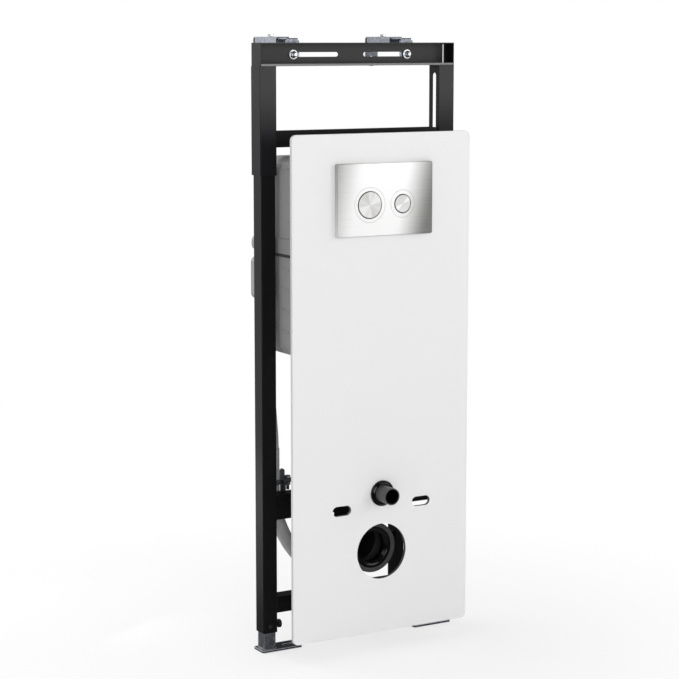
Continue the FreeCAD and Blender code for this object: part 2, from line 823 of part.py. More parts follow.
# The arm that slides over the angle: a strip bent down at the back into the round-ended wall plate, with
# a slot for the clamp screw and a folded side along each edge.
def wall_arm():
    body = new_body("wall_arm")
    wall, turn = "bracket_thickness", "arm_bend"
    half = "(bracket_width / 2)"
    sketch = sketch_in(body, "arm_section", "YZ_Plane", f"bracket_place - {half}")
    back, top, start, low = "wall_distance", "arm_top", "arm_start", "wall_plate_bottom"
    bend_y, bend_z = f"({back} - {turn})", f"({top} - {turn})"
    under = line(sketch, (start, f"{top} - {wall}"), (bend_y, f"{top} - {wall}"))
    inner = arc(sketch, (bend_y, bend_z), f"{turn} - {wall}", 0, 1)
    front_face = line(sketch, (f"{back} - {wall}", bend_z), (f"{back} - {wall}", low))
    foot = line(sketch, (f"{back} - {wall}", low), (back, low))
    back_face = line(sketch, (back, low), (back, bend_z))
    outer = arc(sketch, (bend_y, bend_z), turn, 0, 1)
    over = line(sketch, (bend_y, top), (start, top))
    tip = line(sketch, (start, top), (start, f"{top} - {wall}"))
    joints = [
        (under, 2, inner, 2),
        (inner, 1, front_face, 1),
        (front_face, 2, foot, 1),
        (foot, 2, back_face, 1),
        (back_face, 2, outer, 1),
        (outer, 2, over, 1),
        (over, 2, tip, 1),
        (tip, 2, under, 1),
    ]
    for one, end, two, point in joints:
        sketch.addConstraint(Sketcher.Constraint("Coincident", one, end, two, point))
    fix(sketch, under, 1, start, f"{top} - {wall}")
    fix(sketch, under, 2, bend_y, f"{top} - {wall}")
    fix(sketch, front_face, 1, f"{back} - {wall}", bend_z)
    fix(sketch, foot, 1, f"{back} - {wall}", low)
    fix(sketch, back_face, 1, back, low)
    fix(sketch, back_face, 2, back, bend_z)
    fix(sketch, over, 1, bend_y, top)
    fix(sketch, over, 2, start, top)
    fix(sketch, inner, 3, bend_y)
    fix(sketch, outer, 3, bend_y)
    strip = pad(body, "arm_pad", sketch, "bracket_width")
    x = (number(f"bracket_place - {half}"), number(f"bracket_place + {half}"))
    ends = [(side, number(low)) for side in x]
    fillet(body, "wall_plate_end", strip, edges_along(strip, "Y", ends), f"{half} - 1")
    slots = sketch_in(body, "arm_slot", "XY_Plane", f"{top} - {wall} - 1")
    reach = ("clamp_screw_place - arm_slot_front", "clamp_screw_place + arm_slot_back")
    tall_slot(slots, "bracket_place", *reach, "clamp_screw_radius + screw_hole_gap")
    pocket(body, "arm_slot_pocket", slots, f"{wall} + 2")
    holes = sketch_in(body, "wall_hole", "XZ_Plane", f"-({back} + 1)")
    circle(holes, "bracket_place", f"{low} + wall_hole_rise", "wall_hole_radius")
    pocket(body, "wall_hole_pocket", holes, f"{wall} + 2")
    sides = []
    for word, side in (("left", f"bracket_place - {half}"), ("right", f"bracket_place + {half} - {wall}")):
        z = (f"{top} - {wall} - arm_side", f"{top} - {wall}")
        sides.append(box(f"arm_side_{word}", (side, f"{side} + {wall}"), (start, f"{bend_y} - 2"), z))
    return joined("right_wall_arm", body, *sides)


def clamp_screw():
    place = ("bracket_place", "clamp_screw_place")
    nut_high = "(arm_top - 2 * bracket_thickness - arm_slide_gap)"
    nut_low = f"({nut_high} - nut_height)"
    under = "(arm_top + stem_guide_gap)"
    head = hexagon("clamp_head", "Z", under, f"{under} + screw_head_height", "nut_width", place)
    shank = rod("clamp_shank", "Z", f"{nut_low} - screw_tip / 2", under, "clamp_screw_radius", place)
    nut = hexagon("clamp_nut", "Z", nut_low, nut_high, "nut_width", place)
    return joined("right_clamp_screw", head, shank, nut)


def web_bolt():
    place = ("bracket_place", "beam_slot_level")
    web_front = f"({BEAM_BACK} - beam_wall)"
    washer_front = f"({web_front} - washer_thickness)"
    head_front = f"({washer_front} - nut_height)"
    back = f"({BEAM_BACK} + bracket_thickness)"
    washer = rod("web_washer", "Y", washer_front, web_front, "washer_radius", place)
    head = hexagon("web_head", "Y", head_front, washer_front, "nut_width", place)
    tip = rod("web_tip", "Y", f"{head_front} - screw_tip", head_front, "web_bolt_radius", place)
    shank = rod("web_shank", "Y", web_front, back, "web_bolt_radius", place)
    nut = hexagon("web_nut", "Y", back, f"{back} + nut_height", "nut_width", place)
    return joined("right_web_bolt", washer, head, tip, shank, nut)


# The white front panel with its openings, all in one outline.
def front_panel():
    body = new_body("front_panel")
    sketch = sketch_in(body, "panel_outline", "XZ_Plane", f"-{PANEL_BACK}")
    x = ("-panel_width / 2", "panel_width / 2")
    rounded_rectangle(sketch, x, ("panel_bottom", "panel_top"), "panel_corner")
    reach = "panel_slot_length / 2 - panel_slot_radius"
    for side in ("-", ""):
        slot(sketch, f"{side}bowl_bolt_place", "bowl_bolt_level", reach, "panel_slot_radius")
    circle(sketch, "0", "waste_level", "panel_waste_radius")
    circle(sketch, "0", "flush_level", "panel_flush_radius")
    x = ("-service_width / 2", "service_width / 2")
    rounded_rectangle(sketch, x, ("service_bottom", "service_top"), "service_wall")
    pad(body, "panel_pad", sketch, "panel_thickness")
    return body


# Turned posts that carry the panel in front of the crossbeams.
def panel_spacers():
    face = "(-crossbeam_half_depth)"
    levels = {
        "low": "((lower_beam_bottom + lower_beam_top) / 2)",
        "high": "((middle_beam_bottom + middle_beam_top) / 2 + spacer_rise)",
    }
    spacers = []
    for word, level in levels.items():
        place = ("spacer_place", level)
        stem = rod(f"spacer_stem_{word}", "Y", PANEL_BACK, face, "spacer_radius", place)
        head_end = f"{PANEL_BACK} + spacer_flange_thickness"
        head = rod(f"spacer_head_{word}", "Y", PANEL_BACK, head_end, "spacer_radius + spacer_flange", place)
        base_start = f"{face} - spacer_flange_thickness"
        base = rod(f"spacer_base_{word}", "Y", base_start, face, "spacer_radius + spacer_flange / 2", place)
        spacers.append(joined(f"spacer_{word}", stem, head, base))
    copies = [mirrored(f"{spacer.Name}_mirror", spacer) for spacer in spacers]
    return together("panel_spacers", *spacers, *copies)


# The edges of a feature that lie in the upright plane at one depth.
def edges_at_depth(feature, depth):
    found = []
    for index, edge in enumerate(feature.Shape.Edges, 1):
        if abs(edge.BoundBox.YMin - depth) < 0.01 and edge.BoundBox.YLength < 0.01:
            found.append(f"Edge{index}")
    return found


# The flush plate: a shallow cover with two round openings and thin turned grooves round them.
def flush_plate():
    body = new_body("flush_plate")
    half = "plate_width / 2"
    sketch = sketch_in(body, "plate_outline", "XZ_Plane", "panel_front")
    rounded_rectangle(sketch, (f"-{half}", half), ("plate_bottom", "plate_top"), "plate_corner")
    cover = pad(body, "plate_pad", sketch, "plate_depth")
    fillet(body, "plate_rim", cover, edges_at_depth(cover, cover.Shape.BoundBox.YMin), "plate_edge")
    inside = sketch_in(body, "plate_hollow", "XZ_Plane", "panel_front - 1")
    inner = f"({half} - plate_wall)"
    z = ("plate_bottom + plate_wall", "plate_top - plate_wall")
    rounded_rectangle(inside, (f"-{inner}", inner), z, "plate_corner - plate_wall / 2")
    pocket(body, "plate_hollow_pocket", inside, "plate_depth - plate_wall + 1")
    holes = sketch_in(body, "button_holes", "XZ_Plane", "panel_front - 1")
    circle(holes, "large_button_place", "button_level", "large_button_radius + button_gap")
    circle(holes, "small_button_place", "button_level", "small_button_radius + button_gap")
    pocket(body, "button_hole_pocket", holes, "plate_depth + 3")
    grooves = sketch_in(body, "groove_rings", "XZ_Plane", "panel_front + plate_depth - groove_depth")
    for word in ("large", "small"):
        circle(grooves, f"{word}_button_place", "button_level", f"{word}_groove_radius")
        circle(grooves, f"{word}_button_place", "button_level", f"{word}_groove_radius - groove_width")
    pocket(body, "groove_pocket", grooves, "groove_depth + 1")
    return body


def flush_button(label, place, radius):
    front = f"({PLATE_FRONT} - button_proud)"
    back = f"({front} + button_height)"
    centre = (place, "button_level")
    disc = rod(f"{label}_disc", "Y", front, back, radius, centre)
    stem = rod(f"{label}_stem", "Y", back, "-button_stem_end", "button_stem_radius", centre)
    return joined(label, disc, stem)


# The plate behind the flush plate that guides the buttons' stems.
def button_guide():
    x = ("-service_width / 2", "service_width / 2")
    y = (PANEL_BACK, f"{PANEL_BACK} + service_wall")
    body = box("guide_plate", x, y, ("service_bottom", "service_top"))
    radius = "button_stem_radius + stem_guide_gap"
    holes = []
    for word in ("large", "small"):
        place = (f"{word}_button_place", "button_level")
        holes.append(rod(f"{word}_guide_hole", "Y", f"{PANEL_BACK} - 1", "-cistern_front", radius, place))
    return cut("button_guide", body, *holes)


# The short box between the cistern and the panel, through which the valves are reached.
def service_box():
    wall = "service_wall"
    x = (f"-service_width / 2 - {wall}", f"service_width / 2 + {wall}")
    y = (PANEL_BACK, "-cistern_front")
    outer = box("service_outside", x, y, (f"service_bottom - {wall}", f"service_top + {wall}"))
    inner_x = ("-service_width / 2", "service_width / 2")
    inner = box("service_inside", inner_x, y, ("service_bottom", "service_top"))
    return cut("service_box", outer, inner)


# Half of the cistern: a tray with round corners, open towards the seam. The start and the end are depths,
# and the tray's floor is at the front or at the back.
def cistern_tray(label, start, end, floor):
    body = new_body(label)
    half, wall, depth = CISTERN_HALF, "cistern_wall", f"(({end}) - ({start}))"
    sketch = sketch_in(body, f"{label}_outline", "XZ_Plane", f"-({end})")
    rounded_rectangle(sketch, (f"-{half}", half), ("cistern_bottom", "cistern_top"), "cistern_corner")
    shell = pad(body, f"{label}_pad", sketch, depth)
    limits = shell.Shape.BoundBox
    rim = edges_at_depth(shell, limits.YMin if floor == "front" else limits.YMax)
    fillet(body, f"{label}_edge", shell, rim, "cistern_edge")
    inner = f"({half} - {wall})"
    opening = f"({end}) + 1" if floor == "front" else f"({end}) - {wall}"
    hollow = sketch_in(body, f"{label}_hollow", "XZ_Plane", f"-({opening})")
    z = (f"cistern_bottom + {wall}", f"cistern_top - {wall}")
    rounded_rectangle(hollow, (f"-{inner}", inner), z, f"cistern_corner - {wall}")
    pocket(body, f"{label}_pocket", hollow, f"{depth} - {wall} + 1")
    return body


# A raised rib on the cistern's side, which falls towards the front.
def side_rib(label, level, front, back, drop):
    body = new_body(label)
    root = "cistern_wall / 2"
    sketch = sketch_in(body, f"{label}_outline", "YZ_Plane", f"{CISTERN_HALF} - {root}")
    high = f"{level} + rib_thickness"
    corners = [
        (front, f"{level} - {drop}"),
        (back, level),
        (back, high),
        (front, f"{high} - {drop}"),
    ]
    polygon(sketch, corners)
    pad(body, f"{label}_pad", sketch, f"{root} + rib_height")
    return body


def cistern_front_shell():
    front, back = "(-cistern_front + cistern_edge)", "(-cistern_seam)"
    tray = cistern_tray("cistern_front_tray", "-cistern_front", "-cistern_seam", "front")
    ribs = []
    for row in range(4):
        level = f"(rib_lowest + {row} * rib_spacing)"
        ribs.append(side_rib(f"cistern_rib_{row}", level, front, back, "rib_drop"))
        level = f"(short_rib_lowest + {row} * short_rib_spacing)"
        ribs.append(side_rib(f"cistern_short_rib_{row}", level, front, f"{front} + short_rib_length", "0"))
    copies = [mirrored(f"{rib.Name}_mirror", rib) for rib in ribs]
    return joined("cistern_front_shell", tray, *ribs, *copies)


# The back half has three upright stiffening ribs and two level ones.
def cistern_back_shell():
    start = "(-cistern_seam + seal_thickness)"
    tray = cistern_tray("cistern_back_tray", start, "cistern_back", "back")
    y = ("cistern_back - 1", "cistern_back + back_rib_height")
    low, high = "(cistern_bottom + cistern_corner)", "(cistern_top - cistern_corner)"
    half = "back_rib_width / 2"
    ribs = []
    for word, place in (("left", "-back_rib_place"), ("middle", "0"), ("right", "back_rib_place")):
        x = (f"{place} - {half}", f"{place} + {half}")
        ribs.append(box(f"back_rib_{word}", x, y, (low, high)))
    for word, level in (("low", low), ("high", f"({high} - back_rib_width)")):
        x = (f"-back_rib_place - {half}", f"back_rib_place + {half}")
        ribs.append(box(f"back_rib_{word}", x, y, (level, f"{level} + back_rib_width")))
    return joined("cistern_back_shell", tray, *ribs)


# A thin gasket in the seam between the two halves.
def cistern_seal():
    body = new_body("cistern_seal")
    sketch = sketch_in(body, "seal_outline", "XZ_Plane", "cistern_seam - seal_thickness")
    step = "seal_setback"
    half = f"({CISTERN_HALF} - {step})"
    z = (f"cistern_bottom + {step}", f"cistern_top - {step}")
    rounded_rectangle(sketch, (f"-{half}", half), z, "cistern_corner")
    inner = f"({CISTERN_HALF} - cistern_wall)"
    z = ("cistern_bottom + cistern_wall", "cistern_top - cistern_wall")
    rounded_rectangle(sketch, (f"-{inner}", inner), z, "cistern_corner - cistern_wall")
    pad(body, "seal_pad", sketch, "seal_thickness")
    return body


# The collar round the cistern at the joint of its lid: a wide strip, a groove and a narrower strip.
def cistern_band():
    half, thick = CISTERN_HALF, "band_thickness"
    x = (f"-{half} - {thick}", f"{half} + {thick}")
    front = "(-cistern_front - 1)"
    z = ("band_bottom", "band_top")
    outer = box("band_outside", x, (front, "band_end"), z)
    inner = box("band_inside", (f"-{half}", half), ("-cistern_front", "band_end + 1"), z)
    groove_x = (f"{half} + {thick} / 2", f"{half} + 2 * {thick}")
    groove_z = ("band_groove_level", "band_groove_level + band_groove")
    groove = box("band_groove_right", groove_x, (f"{front} - 1", "band_end + 1"), groove_z)
    return cut("cistern_band", outer, inner, groove, mirrored("band_groove_left", groove))


# Side lugs that hang the cistern between the posts.
def cistern_lugs():
    x = (CISTERN_HALF, POST_INNER)
    y = ("lug_front", "lug_front + lug_depth")
    lugs = []
    for word in ("low", "high"):
        level = f"{word}_lug_level"
        lugs.append(box(f"cistern_lug_{word}", x, y, (level, f"{level} + lug_height")))
    copies = [mirrored(f"{lug.Name}_mirror", lug) for lug in lugs]
    return together("cistern_lugs", *lugs, *copies)


# Light grey round-cornered covers behind the posts, over the water connections.
def rear_blocks():
    blocks = []
    for word, length in (("small", "rear_block_width - 2"), ("large", "rear_block_width")):
        body = new_body(f"rear_block_{word}")
        sketch = sketch_in(body, f"{word}_block_outline", "XZ_Plane", f"-{BLOCK_BACK}")
        x = (CISTERN_HALF, f"({CISTERN_HALF} + {length})")
        z = (f"{word}_block_bottom", f"{word}_block_top")
        rounded_rectangle(sketch, x, z, "block_corner")
        cover = pad(body, f"{word}_block_pad", sketch, "rear_block_depth")
        rim = edges_at_depth(cover, cover.Shape.BoundBox.YMax)
        fillet(body, f"{word}_block_rim", cover, rim, "block_edge")
        blocks.append(body)
    return both_sides("rear_blocks", together("rear_block_pair", *blocks))


# The pipe from the cistern's outlet down and forward to the flush stub.
def flush_pipe():
    body = new_body("flush_pipe")
    path = sketch_in(body, "flush_path", "YZ_Plane", "0")
    level, place, turn = "flush_level", "-flush_pipe_place", "flush_bend_radius"
    bend_top, bend_front = f"({level} + {turn})", f"({place} - {turn})"
    down = line(path, (place, "cistern_bottom"), (place, bend_top))
    bend = arc(path, (bend_front, bend_top), turn, -1, 0)
    end = f"({bend_front} - flush_socket_length)"
    forward = line(path, (bend_front, level), (end, level))
    path.addConstraint(Sketcher.Constraint("Coincident", down, 2, bend, 2))
    path.addConstraint(Sketcher.Constraint("Coincident", bend, 1, forward, 1))
    fix(path, down, 1, place, "cistern_bottom")
    fix(path, down, 2, place, bend_top)
    fix(path, forward, 1, bend_front, level)
    fix(path, forward, 2, end, level)
    fix(path, bend, 3, bend_front)
    ring_sketch = sketch_in(body, "flush_ring", "XY_Plane", "cistern_bottom")
    circle(ring_sketch, "0", "-flush_pipe_place", "flush_pipe_radius")
    circle(ring_sketch, "0", "-flush_pipe_place", "flush_pipe_radius - flush_pipe_wall")
    pipe = body.newObject("PartDesign::AdditivePipe", "flush_sweep")
    pipe.Profile = ring_sketch
    pipe.Spine = path
    doc.recompute()
    return body


# The turned stub the bowl's flush inlet slides on to, with a shoulder that fits the flush pipe.
def flush_stub():
    body = new_body("flush_stub")
    sketch = sketch_in(body, "stub_section", "YZ_Plane", "0", "flush_level")
    outer, inner = "flush_stub_radius", "(flush_stub_radius - flush_stub_wall)"
    shoulder = "(flush_pipe_radius - flush_pipe_wall)"
    front, back = "-flush_reach", "(-flush_pipe_place - flush_bend_radius)"
    step = f"({back} - flush_socket_length)"
    seat = "(-panel_front - flush_collar_thickness - flush_stub_edge)"
    points = [
        (front, inner),
        (front, f"{outer} - flush_stub_edge"),
        (f"{front} + flush_stub_edge", outer),
        (seat, outer),
        (seat, f"{outer} + flush_seat_step"),
        (step, f"{outer} + flush_seat_step"),
        (step, shoulder),
        (back, shoulder),
        (back, inner),
    ]
    polygon(sketch, points)
    revolve(body, "stub_turning", sketch)
    return body


def flush_collar():
    body = new_body("flush_collar")
    sketch = sketch_in(body, "collar_section", "YZ_Plane", "0", "flush_level")
    back, front = "-panel_front", "(-panel_front - flush_collar_thickness)"
    radius, bore = "flush_collar_radius", "(flush_stub_radius + flush_seat_step)"
    step, bevel = "flush_collar_step", "flush_collar_bevel"
    points = [
        (back, bore),
        (back, radius),
        (f"{front} + {step} + {bevel}", radius),
        (f"{front} + {step}", f"{radius} - {bevel}"),
        (f"{front} + {step}", f"{radius} - flush_collar_rim"),
        (front, f"{radius} - flush_collar_rim - {step}"),
        (front, bore),
    ]
    polygon(sketch, points)
    revolve(body, "collar_turning", sketch)
    return body


# The stepped socket for the bowl's outlet.
def waste_connector():
    body = new_body("waste_connector")
    sketch = sketch_in(body, "connector_section", "YZ_Plane", "0", "waste_level")
    front = "-waste_face"
    flange, step = "waste_flange_radius", "waste_step_radius"
    barrel, bore = "waste_body_radius", "waste_bore_radius"
    floor = f"{front} + waste_mouth_step"
    flange_back = f"{front} + waste_flange_depth"
    points = [
        (floor, bore),
        (floor, step),
        (front, step),
        (front, f"{flange} - waste_edge"),
        (f"{front} + waste_edge", flange),
        (flange_back, flange),
        (flange_back, barrel),
        ("waste_bend_start", barrel),
        ("waste_bend_start", bore),
    ]
    polygon(sketch, points)
    revolve(body, "connector_turning", sketch)
    return body


# The rubber lip seal in the socket, with three turned ribs.
def waste_seal():
    body = new_body("waste_seal")
    sketch = sketch_in(body, "seal_section", "YZ_Plane", "0", "waste_level")
    front = "(-waste_face + waste_seal_inset)"
    bore, lip, rim, pitch = "waste_bore_radius", "waste_seal_radius", "waste_seal_rim", "waste_seal_pitch"
    points = [
        (front, f"{bore} + {rim}"),
        (front, f"{lip} + waste_seal_lead"),
        (f"{front} + waste_seal_lead", lip),
    ]
    for rib in range(3):
        start = f"{front} + waste_seal_lead + {rib} * {pitch}"
        points.append((f"{start} + 0.4 * {pitch}", lip))
        points.append((f"{start} + 0.7 * {pitch}", f"{lip} + 0.4 * {pitch}"))
        points.append((f"{start} + {pitch}", lip))
    points.append((f"{front} + waste_seal_length", bore))
    points.append((f"{front} + {rim}", bore))
    points.append((f"{front} + {rim}", f"{bore} + {rim}"))
    polygon(sketch, points)
    revolve(body, "waste_seal_turning", sketch)
    return body


# The bend behind the frame that takes the waste down.
def waste_bend():
    body = new_body("waste_bend")
    path = sketch_in(body, "waste_path", "YZ_Plane", "0")
    level, start, turn = "waste_level", "waste_bend_start", "waste_bend_radius"
    bend_back, bend_low = f"({start} + {turn})", f"({level} - {turn})"
    back = line(path, ("-waste_pipe_start", level), (start, level))
    bend = arc(path, (start, bend_low), turn, 0, 1)
    down = line(path, (bend_back, bend_low), (bend_back, "waste_pipe_bottom"))
    path.addConstraint(Sketcher.Constraint("Coincident", back, 2, bend, 2))
    path.addConstraint(Sketcher.Constraint("Coincident", bend, 1, down, 1))
    fix(path, back, 1, "-waste_pipe_start", level)
    fix(path, back, 2, start, level)
    fix(path, down, 1, bend_back, bend_low)
    fix(path, down, 2, bend_back, "waste_pipe_bottom")
    fix(path, bend, 3, start)
    ring_sketch = sketch_in(body, "waste_ring", "XZ_Plane", "waste_pipe_start")
    circle(ring_sketch, "0", level, "waste_pipe_radius")
    circle(ring_sketch, "0", level, "waste_pipe_radius - waste_pipe_wall")
    pipe = body.newObject("PartDesign::AdditivePipe", "waste_sweep")
    pipe.Profile = ring_sketch
    pipe.Spine = path
    doc.recompute()
    return body


# The clamp that ties the waste socket to the two rails.
def waste_clamp():
    y = ("(-crossbeam_half_depth + 3 * crossbeam_wall)", "(crossbeam_half_depth - 2 * crossbeam_wall)")
    centre = ("0", "waste_level")
    band = rod("clamp_band", "Y", *y, "waste_body_radius + clamp_thickness", centre)
    bar_z = ("waste_level - clamp_height", "waste_level + clamp_height")
    bar = box("clamp_bar", ("-rail_inner", "rail_inner"), y, bar_z)
    bore = rod("clamp_bore", "Y", f"{y[0]} - 1", f"{y[1]} + 1", "waste_body_radius", centre)
    return cut("waste_clamp", joined("clamp_body", band, bar), bore)


# The arched plate under the middle crossbeam.
def saddle_plate():
    x = ("-saddle_half_width", "saddle_half_width")
    front = "(-crossbeam_half_depth + rail_setback)"
    back = f"({front} + saddle_thickness)"
    z = ("middle_beam_bottom - saddle_height", "middle_beam_bottom")
    plate = box("saddle_sheet", x, (front, back), z)
    radius = "waste_body_radius + saddle_clearance"
    arch = rod("saddle_arch", "Y", f"{front} - 1", f"{back} + 1", radius, ("0", "waste_level"))
    return cut("saddle_plate", plate, arch)


# The grey conduit behind the left post: a socket pipe that runs straight and then bends to the middle,
# with a thinner pipe in its socket that leans outwards.
def conduit():
    body = new_body("conduit_socket_pipe")
    path = sketch_in(body, "conduit_path", "XZ_Plane", "-conduit_depth")
    place, turn = f"-{CONDUIT_PLACE}", "conduit_bend_radius"
    low, high = "conduit_straight_low", "conduit_straight_high"
    straight = line(path, (place, high), (place, low))
    bend = arc(path, (f"{place} + {turn}", low), turn, 2, 2 + SIZES["conduit_bend_angle"] / 90)
    path.addConstraint(Sketcher.Constraint("Coincident", straight, 2, bend, 1))
    fix(path, straight, 1, place, high)
    fix(path, straight, 2, place, low)
    fix(path, bend, 3, f"{place} + {turn}", low)
    fix(path, bend, 2, None, f"{low} - {turn} * sin(conduit_bend_angle)")
    ring_sketch = sketch_in(body, "conduit_ring", "XY_Plane", high)
    circle(ring_sketch, place, "conduit_depth", "conduit_radius")
    circle(ring_sketch, place, "conduit_depth", "conduit_radius - conduit_wall")
    pipe = body.newObject("PartDesign::AdditivePipe", "conduit_sweep")
    pipe.Profile = ring_sketch
    pipe.Spine = path
    doc.recompute()
    return joined("conduit", body, conduit_upper_pipe(place))


def conduit_upper_pipe(place):
    body = new_body("conduit_upper_pipe")
    path = sketch_in(body, "upper_path", "XZ_Plane", "-conduit_depth")
    wide, start, high = "conduit_lean_radius", "conduit_upper_start", "conduit_straight_high"
    lean_x = f"({place} - {wide} + {wide} * cos(conduit_lean))"
    lean_z = f"({high} + {wide} * sin(conduit_lean))"
    top_x = f"({lean_x} - tan(conduit_lean) * (conduit_top - {lean_z}))"
    upper = line(path, (top_x, "conduit_top"), (lean_x, lean_z))
    knee = arc(path, (f"{place} - {wide}", high), wide, 0, SIZES["conduit_lean"] / 90)
    lower = line(path, (place, high), (place, start))
    path.addConstraint(Sketcher.Constraint("Coincident", upper, 2, knee, 2))
    path.addConstraint(Sketcher.Constraint("Coincident", knee, 1, lower, 1))
    fix(path, upper, 1, top_x, "conduit_top")
    fix(path, upper, 2, lean_x, lean_z)
    fix(path, lower, 1, place, high)
    fix(path, lower, 2, place, start)
    fix(path, knee, 3, None, high)
    ring_sketch = sketch_in(body, "upper_ring", "XY_Plane", start)
    circle(ring_sketch, place, "conduit_depth", "conduit_upper_radius")
    circle(ring_sketch, place, "conduit_depth", "conduit_upper_radius - conduit_wall")
    pipe = body.newObject("PartDesign::AdditivePipe", "upper_sweep")
    pipe.Profile = ring_sketch
    pipe.Spine = path
    doc.recompute()
    return body


# The clamp that holds the conduit to the back of the middle crossbeam: a band with an ear, a strut that
# stands on the crossbeam and an upright lobe with a round top.
def conduit_clamp():
    place = (f"-{CONDUIT_PLACE}", "conduit_depth")
    z = ("clamp_level - clamp_height / 2", "clamp_level + clamp_height / 2")
    band = rod("conduit_band", "Z", *z, "conduit_radius + clamp_thickness", place)
    ear_x = (f"{place[0]} + conduit_radius / 2", f"{place[0]} + clamp_ear_end")
    ear = box("conduit_ear", ear_x, ("conduit_depth - clamp_ear_half", "conduit_depth + clamp_ear_half"), z)
    strut_x = (f"{place[0]} + clamp_strut_place", f"{place[0]} + clamp_strut_place + clamp_strut_width")
    strut_z = ("middle_beam_top - clamp_height", z[1])
    strut = box("conduit_strut", strut_x, ("crossbeam_half_depth", "conduit_depth"), strut_z)
    lobe_y = ("conduit_depth - clamp_lobe_thickness / 2", "conduit_depth + clamp_lobe_thickness / 2")
    lobe_x = (f"{place[0]} + clamp_strut_place", f"{place[0]} + clamp_strut_place + clamp_lobe_width")
    lobe_round = "(clamp_lobe_width / 2)"
    lobe = box("conduit_lobe", lobe_x, lobe_y, (z[0], f"clamp_lobe_top - {lobe_round}"))
    lobe_place = (f"{lobe_x[0]} + {lobe_round}", f"clamp_lobe_top - {lobe_round}")
    lobe_end = rod("conduit_lobe_end", "Y", *lobe_y, lobe_round, lobe_place)
    body = joined("conduit_clamp_body", band, ear, strut, lobe, lobe_end)
    bore_z = ("middle_beam_bottom", "clamp_lobe_top")
    bore = rod("conduit_bore", "Z", *bore_z, "conduit_radius + conduit_fit_gap", place)
    return cut("conduit_clamp", body, bore)


def conduit_clamp_screw():
    place = (f"-{CONDUIT_PLACE} + clamp_bolt_place", "conduit_depth")
    low, high = "(clamp_level - clamp_height / 2)", "(clamp_level + clamp_height / 2)"
    shank = rod("conduit_screw_shank", "Z", "clamp_bolt_bottom", low, "clamp_bolt_radius", place)
    head = hexagon("conduit_screw_head", "Z", high, f"{high} + screw_head_height", "nut_width", place)
    nut = hexagon("conduit_screw_nut", "Z", f"{low} - nut_height", low, "nut_width", place)
    return together("conduit_clamp_screw", joined("conduit_screw_low", shank, nut), head)


node("leg_tubes", leg_tubes())
node("foot_plates", foot_plates())
node("main_posts", main_posts())
node("lock_screws", lock_screws())
node("lower_crossbeam", lower_crossbeam())
node("middle_crossbeam", middle_crossbeam())
node("upper_crossbeam", upper_crossbeam())
node("height_bolts", height_bolts())
node("support_rails", support_rails())
node("saddle_plate", saddle_plate())
node("sleeves", sleeves())
node("top_beam", top_beam())
node("beam_end_plates", beam_end_plates())
BRACKET_PARTS = {
    "bracket_angle": bracket_angle,
    "wall_arm": wall_arm,
    "clamp_screw": clamp_screw,
    "web_bolt": web_bolt,
}
for name, maker in BRACKET_PARTS.items():
    right = maker()
    node(f"right_{name}", right)
    node(f"left_{name}", mirrored(f"left_{name}", right))
node("front_panel", front_panel())
node("panel_spacers", panel_spacers())
node("flush_plate", flush_plate())
node("large_button", flush_button("large_button", "large_button_place", "large_button_radius"))
node("small_button", flush_button("small_button", "small_button_place", "small_button_radius"))
node("button_guide", button_guide())
node("service_box", service_box())
node("cistern_front_shell", cistern_front_shell())
node("cistern_back_shell", cistern_back_shell())
node("cistern_seal", cistern_seal())
node("cistern_band", cistern_band())
node("cistern_lugs", cistern_lugs())
node("rear_blocks", rear_blocks())
node("flush_pipe", flush_pipe())
node("flush_stub", flush_stub())
node("flush_collar", flush_collar())
node("waste_connector", waste_connector())
node("waste_seal", waste_seal())
node("waste_bend", waste_bend())
node("waste_clamp", waste_clamp())
node("conduit", conduit())
node("conduit_clamp", conduit_clamp())
node("conduit_clamp_screw", conduit_clamp_screw())
doc.recompute()

for item in doc.Objects:
    if "Invalid" in item.State or "Error" in item.State:
        raise RuntimeError(f"{item.Label} has the state {item.State}")
for name, item in NODES.items():
    shape = item.Shape
    if shape.isNull() or not shape.isValid() or not shape.Solids:
        raise RuntimeError(f"{name} has no valid solid")
    shape.exportStep(f"parts/{name}.step")
    limits = shape.BoundBox
    lows = f"{limits.XMin:.1f}, {limits.YMin:.1f}, {limits.ZMin:.1f}"
    highs = f"{limits.XMax:.1f}, {limits.YMax:.1f}, {limits.ZMax:.1f}"
    print(f"{name}: {len(shape.Solids)} solids, {shape.Volume / 1000:.1f} cm3, from {lows} to {highs}")
print(len(NODES), "nodes")
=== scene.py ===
import math

import bmesh
import bpy
import numpy as np
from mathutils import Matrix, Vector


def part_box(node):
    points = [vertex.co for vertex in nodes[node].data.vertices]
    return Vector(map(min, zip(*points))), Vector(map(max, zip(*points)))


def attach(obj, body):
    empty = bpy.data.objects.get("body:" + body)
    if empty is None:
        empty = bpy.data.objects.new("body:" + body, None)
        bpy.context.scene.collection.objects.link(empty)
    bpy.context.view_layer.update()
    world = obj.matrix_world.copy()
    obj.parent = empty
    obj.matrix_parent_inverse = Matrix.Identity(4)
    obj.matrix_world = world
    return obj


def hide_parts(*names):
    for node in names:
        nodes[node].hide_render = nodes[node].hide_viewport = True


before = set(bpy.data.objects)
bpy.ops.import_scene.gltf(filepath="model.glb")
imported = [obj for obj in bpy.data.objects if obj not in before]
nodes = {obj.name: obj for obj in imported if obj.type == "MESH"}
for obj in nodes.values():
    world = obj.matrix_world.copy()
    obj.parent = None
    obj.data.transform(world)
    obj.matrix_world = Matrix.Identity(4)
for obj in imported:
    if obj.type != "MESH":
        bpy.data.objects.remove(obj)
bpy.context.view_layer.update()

mm = 0.001
fullTurn = 2 * np.pi
